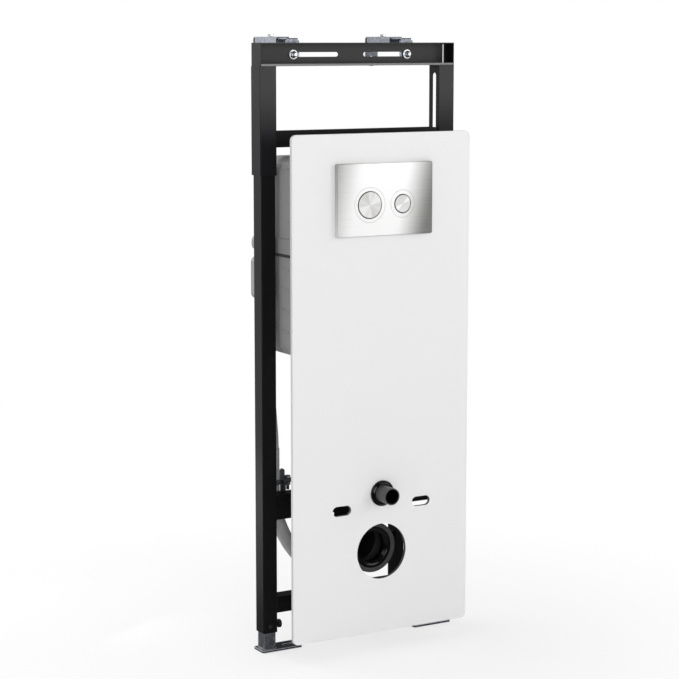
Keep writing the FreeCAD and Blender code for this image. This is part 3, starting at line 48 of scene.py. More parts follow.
axes = {
    "x": (np.array([1.0, 0, 0]), np.array([0, 1.0, 0]), np.array([0, 0, 1.0])),
    "y": (np.array([0, 1.0, 0]), np.array([0, 0, 1.0]), np.array([1.0, 0, 0])),
    "z": (np.array([0, 0, 1.0]), np.array([1.0, 0, 0]), np.array([0, 1.0, 0])),
}
print("frame loaded:", len(nodes), "nodes")


def inMetres(sizes, *names):
    return [sizes[name] * mm for name in names]


# Where a node's axis starts: the middle of its box at rest, with the measure along the axis at nought.
def axisFoot(name, axis):
    low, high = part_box(name)
    middle = {letter: (least + most) / 2 for letter, least, most in zip("xyz", low, high)}
    middle[axis] = 0.0
    return tuple(middle.values())


# meshes from grids of points

# Rows and columns of points become one mesh of quads. A grid can close on itself along its rows,
# its columns or both, its doubled points are merged, and its faces are turned outwards.
def meshFromGrids(name, grids, material, body, sharpAngle=32):
    points, faces, places, start = [], [], [], 0
    for grid, closeRows, closeColumns in grids:
        rows, columns = grid.shape[:2]
        index = np.arange(start, start + rows * columns).reshape(rows, columns)
        if closeRows:
            index = np.concatenate([index, index[:1]], 0)
        if closeColumns:
            index = np.concatenate([index, index[:, :1]], 1)
        across = np.linspace(0, 1, index.shape[1])
        along = np.linspace(0, 1, index.shape[0])
        flat = np.stack(np.meshgrid(across, along), -1)
        before, after = slice(None, -1), slice(1, None)
        corners = [(before, before), (after, before), (after, after), (before, after)]
        faces.append(np.stack([index[corner] for corner in corners], -1).reshape(-1, 4))
        places.append(np.stack([flat[corner] for corner in corners], -2).reshape(-1, 2))
        points.append(grid.reshape(-1, 3))
        start += rows * columns
    mesh = bpy.data.meshes.new(name)
    mesh.from_pydata(np.concatenate(points).tolist(), [], np.concatenate(faces).tolist())
    layer = mesh.uv_layers.new(name="surface")
    layer.data.foreach_set("uv", np.concatenate(places).astype(np.float32).ravel())
    work = bmesh.new()
    work.from_mesh(mesh)
    bmesh.ops.remove_doubles(work, verts=work.verts, dist=0.001 * mm)
    bmesh.ops.recalc_face_normals(work, faces=work.faces)
    work.to_mesh(mesh)
    work.free()
    mesh.shade_smooth()
    mesh.set_sharp_from_angle(angle=math.radians(sharpAngle))
    mesh.materials.append(material)
    piece = bpy.data.objects.new(name, mesh)
    bpy.context.scene.collection.objects.link(piece)
    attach(piece, body)
    return piece


# A corner list becomes a smooth outline: each corner is swapped for a small arc between its two sides,
# which takes no more than the longest share of a side.
def softOutline(corners, radius, closed=True, steps=5, longest=0.45):
    corners = np.array(corners, float)
    count = len(corners)
    outline = []
    for spot in range(count):
        here = corners[spot]
        if not closed and spot in (0, count - 1):
            outline.append(here[None])
            continue
        before, after = corners[spot - 1] - here, corners[(spot + 1) % count] - here
        reach = min(radius, longest * np.linalg.norm(before), longest * np.linalg.norm(after))
        start = here + before / np.linalg.norm(before) * reach
        end = here + after / np.linalg.norm(after) * reach
        share = np.linspace(0, 1, steps)[:, None]
        outline.append((1 - share) ** 2 * start + 2 * share * (1 - share) * here + share ** 2 * end)
    return np.concatenate(outline)


# Arrows of length one all round a circle: the cosine of the angle times the first direction and its sine
# times the second.
def circleArrows(angle, first, second):
    return np.cos(angle)[:, None] * first + np.sin(angle)[:, None] * second


# A turned surface: every point of the outline (distance along the axis, radius) is carried round the axis.
def turnedGrid(outline, centre, axis, steps=96):
    along, first, second = axes[axis]
    arrows = circleArrows(np.linspace(0, fullTurn, steps, endpoint=False), first, second)
    return np.array(centre) + outline[:, None, :1] * along + outline[:, None, 1:] * arrows[None]


# A six-sided wall: half the width across flats over the cosine of the angle from the nearest flat's middle.
def sixSidedRadius(across, angle):
    return across / 2 / np.cos(angle % (fullTurn / 6) - fullTurn / 12)


hexagonShape = {"steps": 72, "chamferCircle": 0.475, "chamferAngle": 30}


# A hexagon head: a six-sided wall whose rims fall away at the chamfer angle outside the chamfer circle.
def hexagonGrid(centre, axis, across, low, high, chamferLow=True, chamferHigh=True):
    along, first, second = axes[axis]
    angle = np.linspace(0, fullTurn, hexagonShape["steps"], endpoint=False)
    radius = sixSidedRadius(across, angle)
    nought = np.zeros_like(radius)
    circle = across * hexagonShape["chamferCircle"]
    drop = (radius - circle) * math.tan(math.radians(hexagonShape["chamferAngle"]))
    inside = np.minimum(radius, circle)
    rows = [
        (nought, nought + low),
        (inside if chamferLow else radius, nought + low),
        (radius, low + drop * chamferLow),
        (radius, high - drop * chamferHigh),
        (inside if chamferHigh else radius, nought + high),
        (nought, nought + high),
    ]
    arrows = circleArrows(angle, first, second)
    return np.array(centre) + np.stack([r[:, None] * arrows + h[:, None] * along for r, h in rows])


threadShape = {"steps": 28, "rowsEachPitch": 6, "depth": 0.6}


# A screw thread: the radius is the outer radius less the depth, a share of the pitch, times a triangle wave
# of (height over pitch, less the turn), so that the crest climbs one pitch in each turn.
def threadGrid(centre, axis, low, high, outer, pitch):
    along, first, second = axes[axis]
    angle = np.linspace(0, fullTurn, threadShape["steps"], endpoint=False)
    rows = int((high - low) / pitch * threadShape["rowsEachPitch"])
    height = np.linspace(low, high, max(4, rows))
    wave = np.abs((height[:, None] / pitch - angle / fullTurn) % 1 * 2 - 1)
    radius = outer - threadShape["depth"] * pitch * wave
    radius = np.concatenate([radius[:1] * 0, radius, radius[-1:] * 0])
    height = np.concatenate([height[:1], height, height[-1:]])
    arrows = circleArrows(angle, first, second)
    return np.array(centre) + radius[..., None] * arrows + height[:, None, None] * along


beadShape = {"step": 0.9, "ripple": 0.10, "rippleLength": 2.1, "swell": 0.06, "swellLength": 4.7, "sink": 0.1}


# A weld bead: a quarter round between two faces is carried along the seam, its size rippled by a sine of
# the distance and drawn in to nothing at both ends by a square root. Its root sinks into the faces.
def beadGrid(start, end, sideOne, sideTwo, size):
    step, rippleLength, swellLength = inMetres(beadShape, "step", "rippleLength", "swellLength")
    start, end = np.array(start, float), np.array(end, float)
    length = np.linalg.norm(end - start)
    share = np.linspace(0, 1, max(12, int(length / step)))
    distance = share * length
    taper = np.sqrt(np.clip(np.minimum(share, 1 - share) * length / size, 0, 1))
    ripple = beadShape["ripple"] * np.abs(np.sin(np.pi * distance / rippleLength))
    swell = beadShape["swell"] * np.sin(distance / swellLength)
    arc = circleArrows(np.linspace(0, fullTurn / 4, 6), np.array(sideOne, float), np.array(sideTwo, float))
    root = -beadShape["sink"] * (arc[:1] + arc[-1:])
    profile = np.concatenate([root, arc])
    line = start + share[:, None] * (end - start)
    return line[:, None] + (size * taper * (1 + ripple + swell))[:, None, None] * profile[None]


# shader groups

def newGroup(name, inputs, outputs):
    group = bpy.data.node_groups.new(name, "ShaderNodeTree")
    for way, sockets in (("INPUT", inputs), ("OUTPUT", outputs)):
        for label, kind in sockets.items():
            group.interface.new_socket(name=label, in_out=way, socket_type=f"NodeSocket{kind}")
    return group, group.nodes.new("NodeGroupInput"), group.nodes.new("NodeGroupOutput")


def node(tree, kind, **settings):
    made = tree.nodes.new(kind)
    for name, value in settings.items():
        if name in made.inputs:
            made.inputs[name].default_value = value
        else:
            setattr(made, name, value)
    return made


def mathNode(tree, operation, first, second=None, clamp=False):
    made = tree.nodes.new("ShaderNodeMath")
    made.operation = operation
    made.use_clamp = clamp
    for spot, value in enumerate((first, second)):
        if value is None:
            continue
        if isinstance(value, (int, float)):
            made.inputs[spot].default_value = value
        else:
            tree.links.new(value, made.inputs[spot])
    return made.outputs[0]


# Rounds the look of sharp edges and gives a mask that is 1 on them.
def makeSoftEdge():
    group, given, result = newGroup(
        "softEdge", {"Radius": "Float", "Reach": "Float"}, {"Normal": "Vector", "Edge": "Float"})
    bevel = node(group, "ShaderNodeBevel", samples=6)
    plain = group.nodes.new("ShaderNodeNewGeometry")
    facing = node(group, "ShaderNodeVectorMath", operation="DOT_PRODUCT")
    group.links.new(given.outputs["Radius"], bevel.inputs["Radius"])
    group.links.new(bevel.outputs["Normal"], facing.inputs[0])
    group.links.new(plain.outputs["Normal"], facing.inputs[1])
    turned = mathNode(group, "SUBTRACT", 1.0, facing.outputs["Value"])
    edge = mathNode(group, "MULTIPLY", turned, given.outputs["Reach"], clamp=True)
    group.links.new(bevel.outputs["Normal"], result.inputs["Normal"])
    group.links.new(edge, result.inputs["Edge"])
    return group


# A fine surface texture: small bumps for the height, and broad patches for tone and gloss.
def makeFineGrain():
    group, given, result = newGroup(
        "fineGrain",
        {"Vector": "Vector", "Grain Scale": "Float", "Patch Scale": "Float", "Patch Strength": "Float"},
        {"Height": "Float", "Patch": "Float", "Tone": "Float"},
    )
    small = node(group, "ShaderNodeTexNoise", Detail=3.0, Roughness=0.6)
    broad = node(group, "ShaderNodeTexNoise", Detail=4.0, Roughness=0.55)
    for texture, scale in ((small, "Grain Scale"), (broad, "Patch Scale")):
        group.links.new(given.outputs["Vector"], texture.inputs["Vector"])
        group.links.new(given.outputs[scale], texture.inputs["Scale"])
    centred = mathNode(group, "SUBTRACT", broad.outputs["Fac"], 0.5)
    patch = mathNode(group, "MULTIPLY", centred, given.outputs["Patch Strength"])
    tone = mathNode(group, "ADD", mathNode(group, "MULTIPLY", patch, 2.0), 1.0)
    group.links.new(small.outputs["Fac"], result.inputs["Height"])
    group.links.new(patch, result.inputs["Patch"])
    group.links.new(tone, result.inputs["Tone"])
    return group


# Fine parallel lines along x of the given vector, as an abrasive belt leaves them.
def makeBrushedLines():
    group, given, result = newGroup(
        "brushedLines",
        {"Vector": "Vector", "Line Density": "Float", "Line Length": "Float"},
        {"Height": "Float", "Tone": "Float"},
    )
    parts = group.nodes.new("ShaderNodeSeparateXYZ")
    stretched = group.nodes.new("ShaderNodeCombineXYZ")
    group.links.new(given.outputs["Vector"], parts.inputs[0])
    for letter, factor in (("X", "Line Length"), ("Y", "Line Density"), ("Z", "Line Density")):
        scaled = mathNode(group, "MULTIPLY", parts.outputs[letter], given.outputs[factor])
        group.links.new(scaled, stretched.inputs[letter])
    lines = node(group, "ShaderNodeTexNoise", Scale=1.0, Detail=5.0, Roughness=0.7)
    group.links.new(stretched.outputs[0], lines.inputs["Vector"])
    group.links.new(lines.outputs["Fac"], result.inputs["Height"])
    group.links.new(lines.outputs["Fac"], result.inputs["Tone"])
    return group


softEdge = makeSoftEdge()
fineGrain = makeFineGrain()
brushedLines = makeBrushedLines()
print("shader groups made")


# materials

def groupNode(tree, group, **values):
    made = tree.nodes.new("ShaderNodeGroup")
    made.node_tree = group
    for name, value in values.items():
        made.inputs[name.replace("_", " ")].default_value = value
    return made


def newMaterial(name, **sockets):
    material = bpy.data.materials.new(name)
    material.use_nodes = True
    tree = material.node_tree
    shader = tree.nodes["Principled BSDF"]
    for socket, value in sockets.items():
        shader.inputs[socket.replace("_", " ")].default_value = value
    return material, tree, shader


def split(tree, vector):
    parts = tree.nodes.new("ShaderNodeSeparateXYZ")
    tree.links.new(vector, parts.inputs[0])
    return parts.outputs


# The second colour laid over the first by a factor; each is a grey, a colour or another node's output.
def mixedColour(tree, factor, first, second):
    mixed = node(tree, "ShaderNodeMix", data_type="RGBA")
    for label, value in (("A", first), ("B", second)):
        if isinstance(value, float):
            value = (value, value, value)
        if isinstance(value, tuple):
            mixed.inputs[label].default_value = (*value, 1.0)
        else:
            tree.links.new(value, mixed.inputs[label])
    tree.links.new(factor, mixed.inputs["Factor"])
    return mixed.outputs["Result"]


# A share that goes smoothly from the least at one value to the most at another, which may be the lower.
def smoothShare(tree, value, leastAt, mostAt, least=0.0, most=1.0):
    rise = node(tree, "ShaderNodeMapRange", interpolation_type="SMOOTHSTEP")
    ends = sorted([(leastAt, least), (mostAt, most)])
    for label, (here, share) in zip(("Min", "Max"), ends):
        rise.inputs[f"From {label}"].default_value = here
        rise.inputs[f"To {label}"].default_value = share
    tree.links.new(value, rise.inputs["Value"])
    return rise.outputs["Result"]


def flatLength(tree, sideways, upwards):
    squares = [mathNode(tree, "MULTIPLY", part, part) for part in (sideways, upwards)]
    return mathNode(tree, "SQRT", mathNode(tree, "ADD", *squares))


# A bump, its distance in millimetres, laid over the surface or over the rounded edges.
def addBump(tree, shader, height, strength, distance, edge=None):
    bump = node(tree, "ShaderNodeBump", Strength=strength, Distance=distance * mm)
    tree.links.new(height, bump.inputs["Height"])
    if edge is not None:
        tree.links.new(edge.outputs["Normal"], bump.inputs["Normal"])
    tree.links.new(bump.outputs["Normal"], shader.inputs["Normal"])


# 1 on the faces that don't look to the front or the back.
def sideShare(tree, where):
    forwards = mathNode(tree, "ABSOLUTE", split(tree, where.outputs["Normal"])["Y"])
    return mathNode(tree, "LESS_THAN", forwards, 0.5)


# Painted light by height: a base colour that goes over into another one between two heights, the lower one
# painted shade on the sleeves, a painted shadow under the cistern band and a painted highlight on the beam's
# lip, with painted shade on the side faces.
def paintedLightByHeight(tree, where, look):
    height = split(tree, where.outputs["Object"])["Z"]
    upper = mixedColour(tree, sideShare(tree, where), look["base"], look["sidePaintedShade"])
    rise = smoothShare(tree, height, look["fadeLow"], look["fadeHigh"])
    return mixedColour(tree, rise, look["lowPaintedLight"], upper)


# Painted shade: a darker base colour on the side faces, and a darker one still on the walls of the openings,
# which lie in the middle.
def paintedShadeOnSides(tree, where, look):
    parts = split(tree, where.outputs["Object"])
    within = mathNode(tree, "LESS_THAN", mathNode(tree, "ABSOLUTE", parts["X"]), look["middleWidth"] / 2)
    height = mathNode(tree, "ABSOLUTE", mathNode(tree, "SUBTRACT", parts["Z"], look["middleLevel"]))
    inside = mathNode(tree, "MULTIPLY", within, mathNode(tree, "LESS_THAN", height, look["middleHeight"] / 2))
    wall = mixedColour(tree, inside, look["sidePaintedShade"], look["openingPaintedShade"])
    return mixedColour(tree, sideShare(tree, where), look["base"], wall)


def grainAndEdge(tree, where, look):
    grain = groupNode(tree, fineGrain, Grain_Scale=look["grainScale"], Patch_Scale=look["patchScale"],
                      Patch_Strength=look["patchStrength"])
    tree.links.new(where.outputs["Object"], grain.inputs["Vector"])
    return grain, groupNode(tree, softEdge, Radius=look["edgeRadius"] * mm, Reach=look["edgeReach"])


# What paint, plastic and zinc share: painted light on the rims, a paler highlight on most finishes and a
# darker line on some, a tone that drifts a little over the surface, and a grained bump laid over rounded
# edges.
def finishSurface(tree, shader, look, base, grain, edge):
    rim = mathNode(tree, "MULTIPLY", edge.outputs["Edge"], look["edgeShare"])
    toned = node(tree, "ShaderNodeVectorMath", operation="SCALE")
    tree.links.new(mixedColour(tree, rim, base, look["edgePaintedLight"]), toned.inputs[0])
    tree.links.new(grain.outputs["Tone"], toned.inputs["Scale"])
    tree.links.new(toned.outputs[0], shader.inputs["Base Color"])
    addBump(tree, shader, grain.outputs["Height"], look["bumpStrength"], look["grainHeight"], edge)
    return rim


coatDefaults = {
    "edgeRadius": 0.8, "edgeReach": 3.0, "edgeShare": 0.5, "bumpStrength": 0.5,
    "patchScale": 9.0, "patchStrength": 0.06, "sockets": {},
}


# One recipe for paints and plastics, with painted light low down and painted shade on the sides and in the
# openings, where the look gives one.
def coatedMaterial(name, changes):
    look = {**coatDefaults, **changes}
    material, tree, shader = newMaterial(name, **look["sockets"])
    where = tree.nodes.new("ShaderNodeTexCoord")
    grain, edge = grainAndEdge(tree, where, look)
    base = look["base"]
    if "lowPaintedLight" in look:
        base = paintedLightByHeight(tree, where, look)
    if "openingPaintedShade" in look:
        base = paintedShadeOnSides(tree, where, look)
    finishSurface(tree, shader, look, base, grain, edge)
    rough = mathNode(tree, "ADD", grain.outputs["Patch"], look["rough"], clamp=True)
    tree.links.new(rough, shader.inputs["Roughness"])
    return material


zincDefaults = {
    "edgeRadius": 0.5, "edgeReach": 3.0, "edgeShare": 0.8, "bumpStrength": 0.4, "grainHeight": 0.03,
    "patchScale": 14.0, "patchStrength": 0.12,
}


# Hot-dip zinc: flakes of slightly different tone and gloss over a metal base, and rims that carry a paler
# painted highlight and are less metallic.
def zincMaterial(name, changes):
    look = {**zincDefaults, **changes}
    material, tree, shader = newMaterial(name)
    where = tree.nodes.new("ShaderNodeTexCoord")
    flakes = node(tree, "ShaderNodeTexVoronoi", Scale=look["flakeScale"])
    tree.links.new(where.outputs["Object"], flakes.inputs["Vector"])
    apart = tree.nodes.new("ShaderNodeSeparateColor")
    tree.links.new(flakes.outputs["Color"], apart.inputs[0])
    grain, edge = grainAndEdge(tree, where, look)
    base = mixedColour(tree, apart.outputs[0], look["dark"], look["light"])
    rim = finishSurface(tree, shader, look, base, grain, edge)
    tree.links.new(mathNode(tree, "SUBTRACT", 1.0, rim), shader.inputs["Metallic"])
    gloss = mathNode(tree, "MULTIPLY", apart.outputs[1], look["flakeGloss"])
    drift = mathNode(tree, "ADD", gloss, grain.outputs["Patch"])
    tree.links.new(mathNode(tree, "ADD", drift, look["rough"], clamp=True), shader.inputs["Roughness"])
    return material


plateLook = {
    # The dark and the bright colour are the painted shade at the plate's sides and the painted highlight of
    # its middle band.
    "dark": (0.20, 0.20, 0.19),
    "paintedHighlight": (1.0, 1.0, 0.995),
    "groove": (0.62, 0.62, 0.60),
    "sockets": {"Metallic": 0.7, "Anisotropic": 0.6, "Anisotropic_Rotation": 0.25},
    "rough": 0.30,
    "roughDrift": 0.18,
    "lineDensity": 1500.0,
    "lineLength": 16.0,
    "lineHeight": 0.03,
    "streak": 0.3,
    "bandTilt": 0.21,
    "leftFall": (-0.178, -0.056),  # where the bright band begins and is full, in metres from the middle
    "rightFall": (0.124, 0.032),
    "grooves": [("large_button", 0.0382), ("small_button", 0.0302)],  # radius in metres
    "grooveReach": 0.0007,
    "edgeRadius": 0.6,
    "edgeReach": 3.0,
    "bumpStrength": 0.5,
}


# Belt-brushed steel: long lines along x, which stretch its highlights upright, a broad slanting band of
# painted highlight in the middle with painted shade to both sides, and a ring groove round each button.
def brushedPlateMaterial(name, look):
    material, tree, shader = newMaterial(name, **look["sockets"])
    where = tree.nodes.new("ShaderNodeTexCoord")
    lines = groupNode(tree, brushedLines, Line_Density=look["lineDensity"], Line_Length=look["lineLength"])
    tree.links.new(where.outputs["Object"], lines.inputs["Vector"])
    parts = split(tree, where.outputs["Object"])
    middleX, _, middleZ = axisFoot("flush_plate", "y")
    lean = mathNode(tree, "MULTIPLY", mathNode(tree, "SUBTRACT", parts["Z"], middleZ), look["bandTilt"])
    across = mathNode(tree, "SUBTRACT", mathNode(tree, "SUBTRACT", parts["X"], middleX), lean)
    # The painted highlight: a slanting band, full in the middle and falling off to both sides.
    paintedSheen = mathNode(tree, "MULTIPLY", smoothShare(tree, across, *look["leftFall"]),
                    smoothShare(tree, across, *look["rightFall"]))
    centred = mathNode(tree, "SUBTRACT", lines.outputs["Tone"], 0.5)
    streak = mathNode(tree, "MULTIPLY", centred, look["streak"])
    share = mathNode(tree, "ADD", paintedSheen, streak, clamp=True)
    base = mixedColour(tree, share, look["dark"], look["paintedHighlight"])
    for button, radius in look["grooves"]:
        buttonX, _, buttonZ = axisFoot(button, "y")
        away = flatLength(tree, mathNode(tree, "SUBTRACT", parts["X"], buttonX),
                          mathNode(tree, "SUBTRACT", parts["Z"], buttonZ))
        ring = mathNode(tree, "ABSOLUTE", mathNode(tree, "SUBTRACT", away, radius))
        base = mixedColour(tree, smoothShare(tree, ring, look["grooveReach"], 0.0), base, look["groove"])
    tree.links.new(base, shader.inputs["Base Color"])
    drift = mathNode(tree, "MULTIPLY", lines.outputs["Tone"], look["roughDrift"])
    tree.links.new(mathNode(tree, "ADD", drift, look["rough"]), shader.inputs["Roughness"])
    edge = groupNode(tree, softEdge, Radius=look["edgeRadius"] * mm, Reach=look["edgeReach"])
    addBump(tree, shader, lines.outputs["Height"], look["bumpStrength"], look["lineHeight"], edge)
    return material


# A spun button face: rings finer than a hair, pale rays from the middle that are a painted highlight,
# standing in for the light that turned steel reflects, and a dark skirt outside the face's radius.
def spunMaterial(name, centre, faceRadius, rays, look):
    material, tree, shader = newMaterial(name, Metallic=look["metallic"])
    where = tree.nodes.new("ShaderNodeTexCoord")
    moved = node(tree, "ShaderNodeVectorMath", operation="SUBTRACT")
    moved.inputs[1].default_value = centre
    tree.links.new(where.outputs["Object"], moved.inputs[0])
    parts = split(tree, moved.outputs[0])
    angle = mathNode(tree, "ARCTAN2", parts["Z"], parts["X"])
    radius = flatLength(tree, parts["X"], parts["Z"])
    rings = tree.nodes.new("ShaderNodeCombineXYZ")
    tree.links.new(mathNode(tree, "MULTIPLY", radius, look["ringDensity"]), rings.inputs["X"])
    noise = node(tree, "ShaderNodeTexNoise", Scale=1.0, Detail=3.0)
    tree.links.new(rings.outputs[0], noise.inputs["Vector"])
    waves = None
    for count, turn, strength in rays:
        wave = mathNode(tree, "SINE", mathNode(tree, "ADD", mathNode(tree, "MULTIPLY", angle, count), turn))
        wave = mathNode(tree, "MULTIPLY", wave, strength)
        waves = wave if waves is None else mathNode(tree, "ADD", waves, wave)
    centred = mathNode(tree, "SUBTRACT", noise.outputs["Fac"], 0.5)
    streak = mathNode(tree, "MULTIPLY", centred, look["streak"])
    share = mathNode(tree, "ADD", mathNode(tree, "ADD", waves, streak), 0.5, clamp=True)
    face = mixedColour(tree, share, look["dark"], look["paintedHighlight"])
    outside = mathNode(tree, "GREATER_THAN", radius, faceRadius)
    tree.links.new(mixedColour(tree, outside, face, look["skirt"]), shader.inputs["Base Color"])
    drift = mathNode(tree, "MULTIPLY", noise.outputs["Fac"], look["roughDrift"])
    tree.links.new(mathNode(tree, "ADD", drift, look["rough"]), shader.inputs["Roughness"])
    addBump(tree, shader, noise.outputs["Fac"], look["bumpStrength"], look["ringHeight"])
    return material


steelCoat = {
    "grainScale": 850.0, "grainHeight": 0.05, "bumpStrength": 0.6, "patchStrength": 0.08,
    "sockets": {"Specular_IOR_Level": 0.15},
}
upperCoat = {**steelCoat, "edgePaintedLight": 0.01, "edgeShare": 0.9, "rough": 0.40}
shellPlastic = {
    "edgeShare": 0.45, "rough": 0.46, "grainScale": 520.0, "grainHeight": 0.05, "patchStrength": 0.05,
}
# Each look's edge colour is painted light on the rims: a paler painted highlight on most finishes, a darker
# painted line on the upper coat and the panel.
looks = {
    "powderCoat": {
        **steelCoat, "base": (0.0035, 0.0035, 0.0040), "edgePaintedLight": (0.075, 0.075, 0.078), "rough": 0.36,
    },
    # Painted light on the top section: the coat is painted paler towards the top, where the studio's light
    # falls, darker below 1.12 m, with painted shade on the side faces.
    "topCoat": {
        **upperCoat, "base": 0.048, "sidePaintedShade": (0.004, 0.004, 0.005),
        "lowPaintedLight": (0.006, 0.006, 0.008), "fadeLow": 1.12, "fadeHigh": 1.26,
    },
    # A painted highlight on the beam's lower lip, below 1.3022 m, and painted shade on the faces that don't
    # look to the front or the back.
    "beamCoat": {
        **upperCoat, "base": (0.056, 0.056, 0.055), "sidePaintedShade": 0.012,
        "lowPaintedLight": 0.23, "fadeLow": 1.3022, "fadeHigh": 1.3034,
    },
    "clampGrey": {
        "base": (0.060, 0.066, 0.078), "edgePaintedLight": (0.14, 0.15, 0.17), "rough": 0.34,
        "grainScale": 600.0, "grainHeight": 0.04,
    },
    # Painted shade: a near-black for the sheets set inside the bores and for the screw ends, where there is
    # only shade.
    "boreShade": {
        "base": 0.003, "edgePaintedLight": 0.01, "rough": 0.5,
        "grainScale": 300.0, "grainHeight": 0.02, "sockets": {"Specular_IOR_Level": 0.2},
    },
    # Painted shade on the panel's side faces, and darker painted shade on the walls of its openings.
    "panelWhite": {
        "base": 0.80, "edgePaintedLight": 0.60, "edgeShare": 0.6, "rough": 0.34,
        "sidePaintedShade": 0.56, "openingPaintedShade": 0.10,
        "middleWidth": 0.40, "middleLevel": 0.6, "middleHeight": 1.0, "patchScale": 3.0,
        "grainScale": 260.0, "grainHeight": 0.02, "bumpStrength": 0.3, "patchStrength": 0.012,
    },
    "cisternGrey": {
        **shellPlastic, "base": 0.375, "edgePaintedLight": 0.48, "edgeRadius": 1.4,
    },
    # A painted shadow along the lower edge of the band, below 0.8938 m.
    "bandGrey": {
        **shellPlastic, "base": 0.33, "edgePaintedLight": 0.42,
        "sidePaintedShade": 0.33, "lowPaintedLight": 0.07, "fadeLow": 0.8938, "fadeHigh": 0.8946,
    },
    "paleGrey": {
        "base": (0.34, 0.34, 0.335), "edgePaintedLight": (0.46, 0.46, 0.455), "rough": 0.42,
        "grainScale": 520.0, "grainHeight": 0.05, "edgeRadius": 1.4,
    },
    "conduitGrey": {
        "base": 0.42, "edgePaintedLight": 0.5, "rough": 0.38,
        "grainScale": 300.0, "grainHeight": 0.03,
    },
    "glossBlack": {
        "base": 0.002, "edgePaintedLight": 0.01, "rough": 0.10,
        "sockets": {"Specular_IOR_Level": 0.3},
        "grainScale": 160.0, "grainHeight": 0.015, "bumpStrength": 0.3, "patchStrength": 0.05,
    },
    "stubGrey": {
        "base": (0.055, 0.055, 0.057), "edgePaintedLight": 0.12, "rough": 0.36,
        "grainScale": 420.0, "grainHeight": 0.03,
    },
    "connectorGrey": {
        "base": (0.050, 0.050, 0.051), "edgePaintedLight": 0.10, "rough": 0.4,
        "grainScale": 480.0, "grainHeight": 0.04,
    },
    "blackPipe": {
        "base": (0.010, 0.010, 0.011), "edgePaintedLight": 0.03, "rough": 0.33,
        "grainScale": 380.0, "grainHeight": 0.03,
    },
    "blackScrew": {
        "base": (0.012, 0.012, 0.013), "edgePaintedLight": 0.10, "edgeShare": 0.6, "rough": 0.34,
        "grainScale": 900.0, "grainHeight": 0.03,
    },
    "rubber": {
        "base": 0.010, "edgePaintedLight": 0.05, "rough": 0.26,
        "grainScale": 700.0, "grainHeight": 0.06,
    },
}
zincLooks = {
    "galvanised": {
        "dark": (0.22, 0.235, 0.27), "light": (0.31, 0.325, 0.365), "edgePaintedLight": (0.6, 0.6, 0.64),
        "flakeScale": 170.0, "flakeGloss": 0.12, "grainScale": 700.0, "rough": 0.34,
    },
    "legZinc": {
        "dark": (0.17, 0.176, 0.195), "light": (0.30, 0.31, 0.335), "edgePaintedLight": (0.85, 0.85, 0.88),
        "flakeScale": 90.0, "flakeGloss": 0.14, "grainScale": 700.0, "rough": 0.26,
        "edgeRadius": 2.2, "edgeReach": 9.0,
    },
    # Painted shade: the foot plates take a darker copy of the leg's zinc.
    "footZincShaded": {
        "dark": (0.06, 0.064, 0.074), "light": (0.10, 0.106, 0.12), "edgePaintedLight": (0.95, 0.95, 1.0),
        "flakeScale": 120.0, "flakeGloss": 0.10, "grainScale": 700.0, "rough": 0.30,
        "edgeRadius": 2.4, "edgeReach": 12.0,
    },
    "brightZinc": {
        "dark": (0.36, 0.37, 0.385), "light": (0.56, 0.57, 0.58), "edgePaintedLight": (0.85, 0.85, 0.86),
        "flakeScale": 500.0, "flakeGloss": 0.06, "grainScale": 900.0, "rough": 0.16,
    },
}
materials = {name: coatedMaterial(name, look) for name, look in looks.items()}
materials.update({name: zincMaterial(name, look) for name, look in zincLooks.items()})
materials["brushedPlate"] = brushedPlateMaterial("brushedPlate", plateLook)
print("materials made:", len(materials))


# finishes for the nodes

nodeFinishes = {
    "powderCoat": ["main_posts", "lower_crossbeam", "middle_crossbeam", "upper_crossbeam", "support_rails",
                   "saddle_plate", "panel_spacers", "waste_clamp"],
    "topCoat": ["sleeves", "beam_end_plates"],
    "beamCoat": ["top_beam"],
    "clampGrey": ["conduit_clamp"],
    "legZinc": ["leg_tubes"],
    "footZincShaded": ["foot_plates"],
    "galvanised": ["right_bracket_angle", "left_bracket_angle", "right_wall_arm", "left_wall_arm"],
    "brightZinc": ["height_bolts", "conduit_clamp_screw", "right_clamp_screw", "left_clamp_screw",
                   "right_web_bolt", "left_web_bolt"],
    "blackScrew": ["lock_screws"],
    "panelWhite": ["front_panel"],
    "brushedPlate": ["flush_plate"],
    "bandGrey": ["cistern_band"],
    "cisternGrey": ["button_guide", "service_box", "cistern_front_shell", "cistern_back_shell",
                    "cistern_lugs", "flush_pipe"],
    "paleGrey": ["rear_blocks"],
    "stubGrey": ["flush_stub"],
    "glossBlack": ["flush_collar"],
    "connectorGrey": ["waste_connector"],
    "blackPipe": ["waste_bend"],
    "rubber": ["waste_seal", "cistern_seal"],
    "conduitGrey": ["conduit"],
}
for finish, names in nodeFinishes.items():
    for name in names:
        slots = nodes[name].data.materials
        slots.clear()
        slots.append(materials[finish])
print("nodes finished")


# flush buttons

buttonLook = {
    "rimRadius": 0.9,
    "dish": 0.2,
    "skirtDepth": 5.0,
    "skirtShare": 0.3,
    "stem": 6.0,
    # The dark and the bright colour are the ends of the painted highlight rays on the button faces.
    "dark": (0.58, 0.57, 0.56),
    "paintedHighlight": (0.95, 0.95, 0.94),
    "skirt": 0.03,
    "metallic": 0.7,
    "rough": 0.30,
    "roughDrift": 0.15,
    "streak": 0.25,
    "ringDensity": 2600.0,
    "ringHeight": 0.02,
    "bumpStrength": 0.4,
    # each painted highlight ray's count in a turn, its shift in radians and its strength
    "largeHighlightRays": [(2.0, 0.1, 0.24), (6.0, -1.57, 0.12), (10.0, -1.57, 0.08)],
    "smallHighlightRays": [(2.0, 0.35, 0.20), (4.0, -0.87, 0.16), (6.0, -2.09, 0.12), (8.0, 2.97, 0.08)],
}


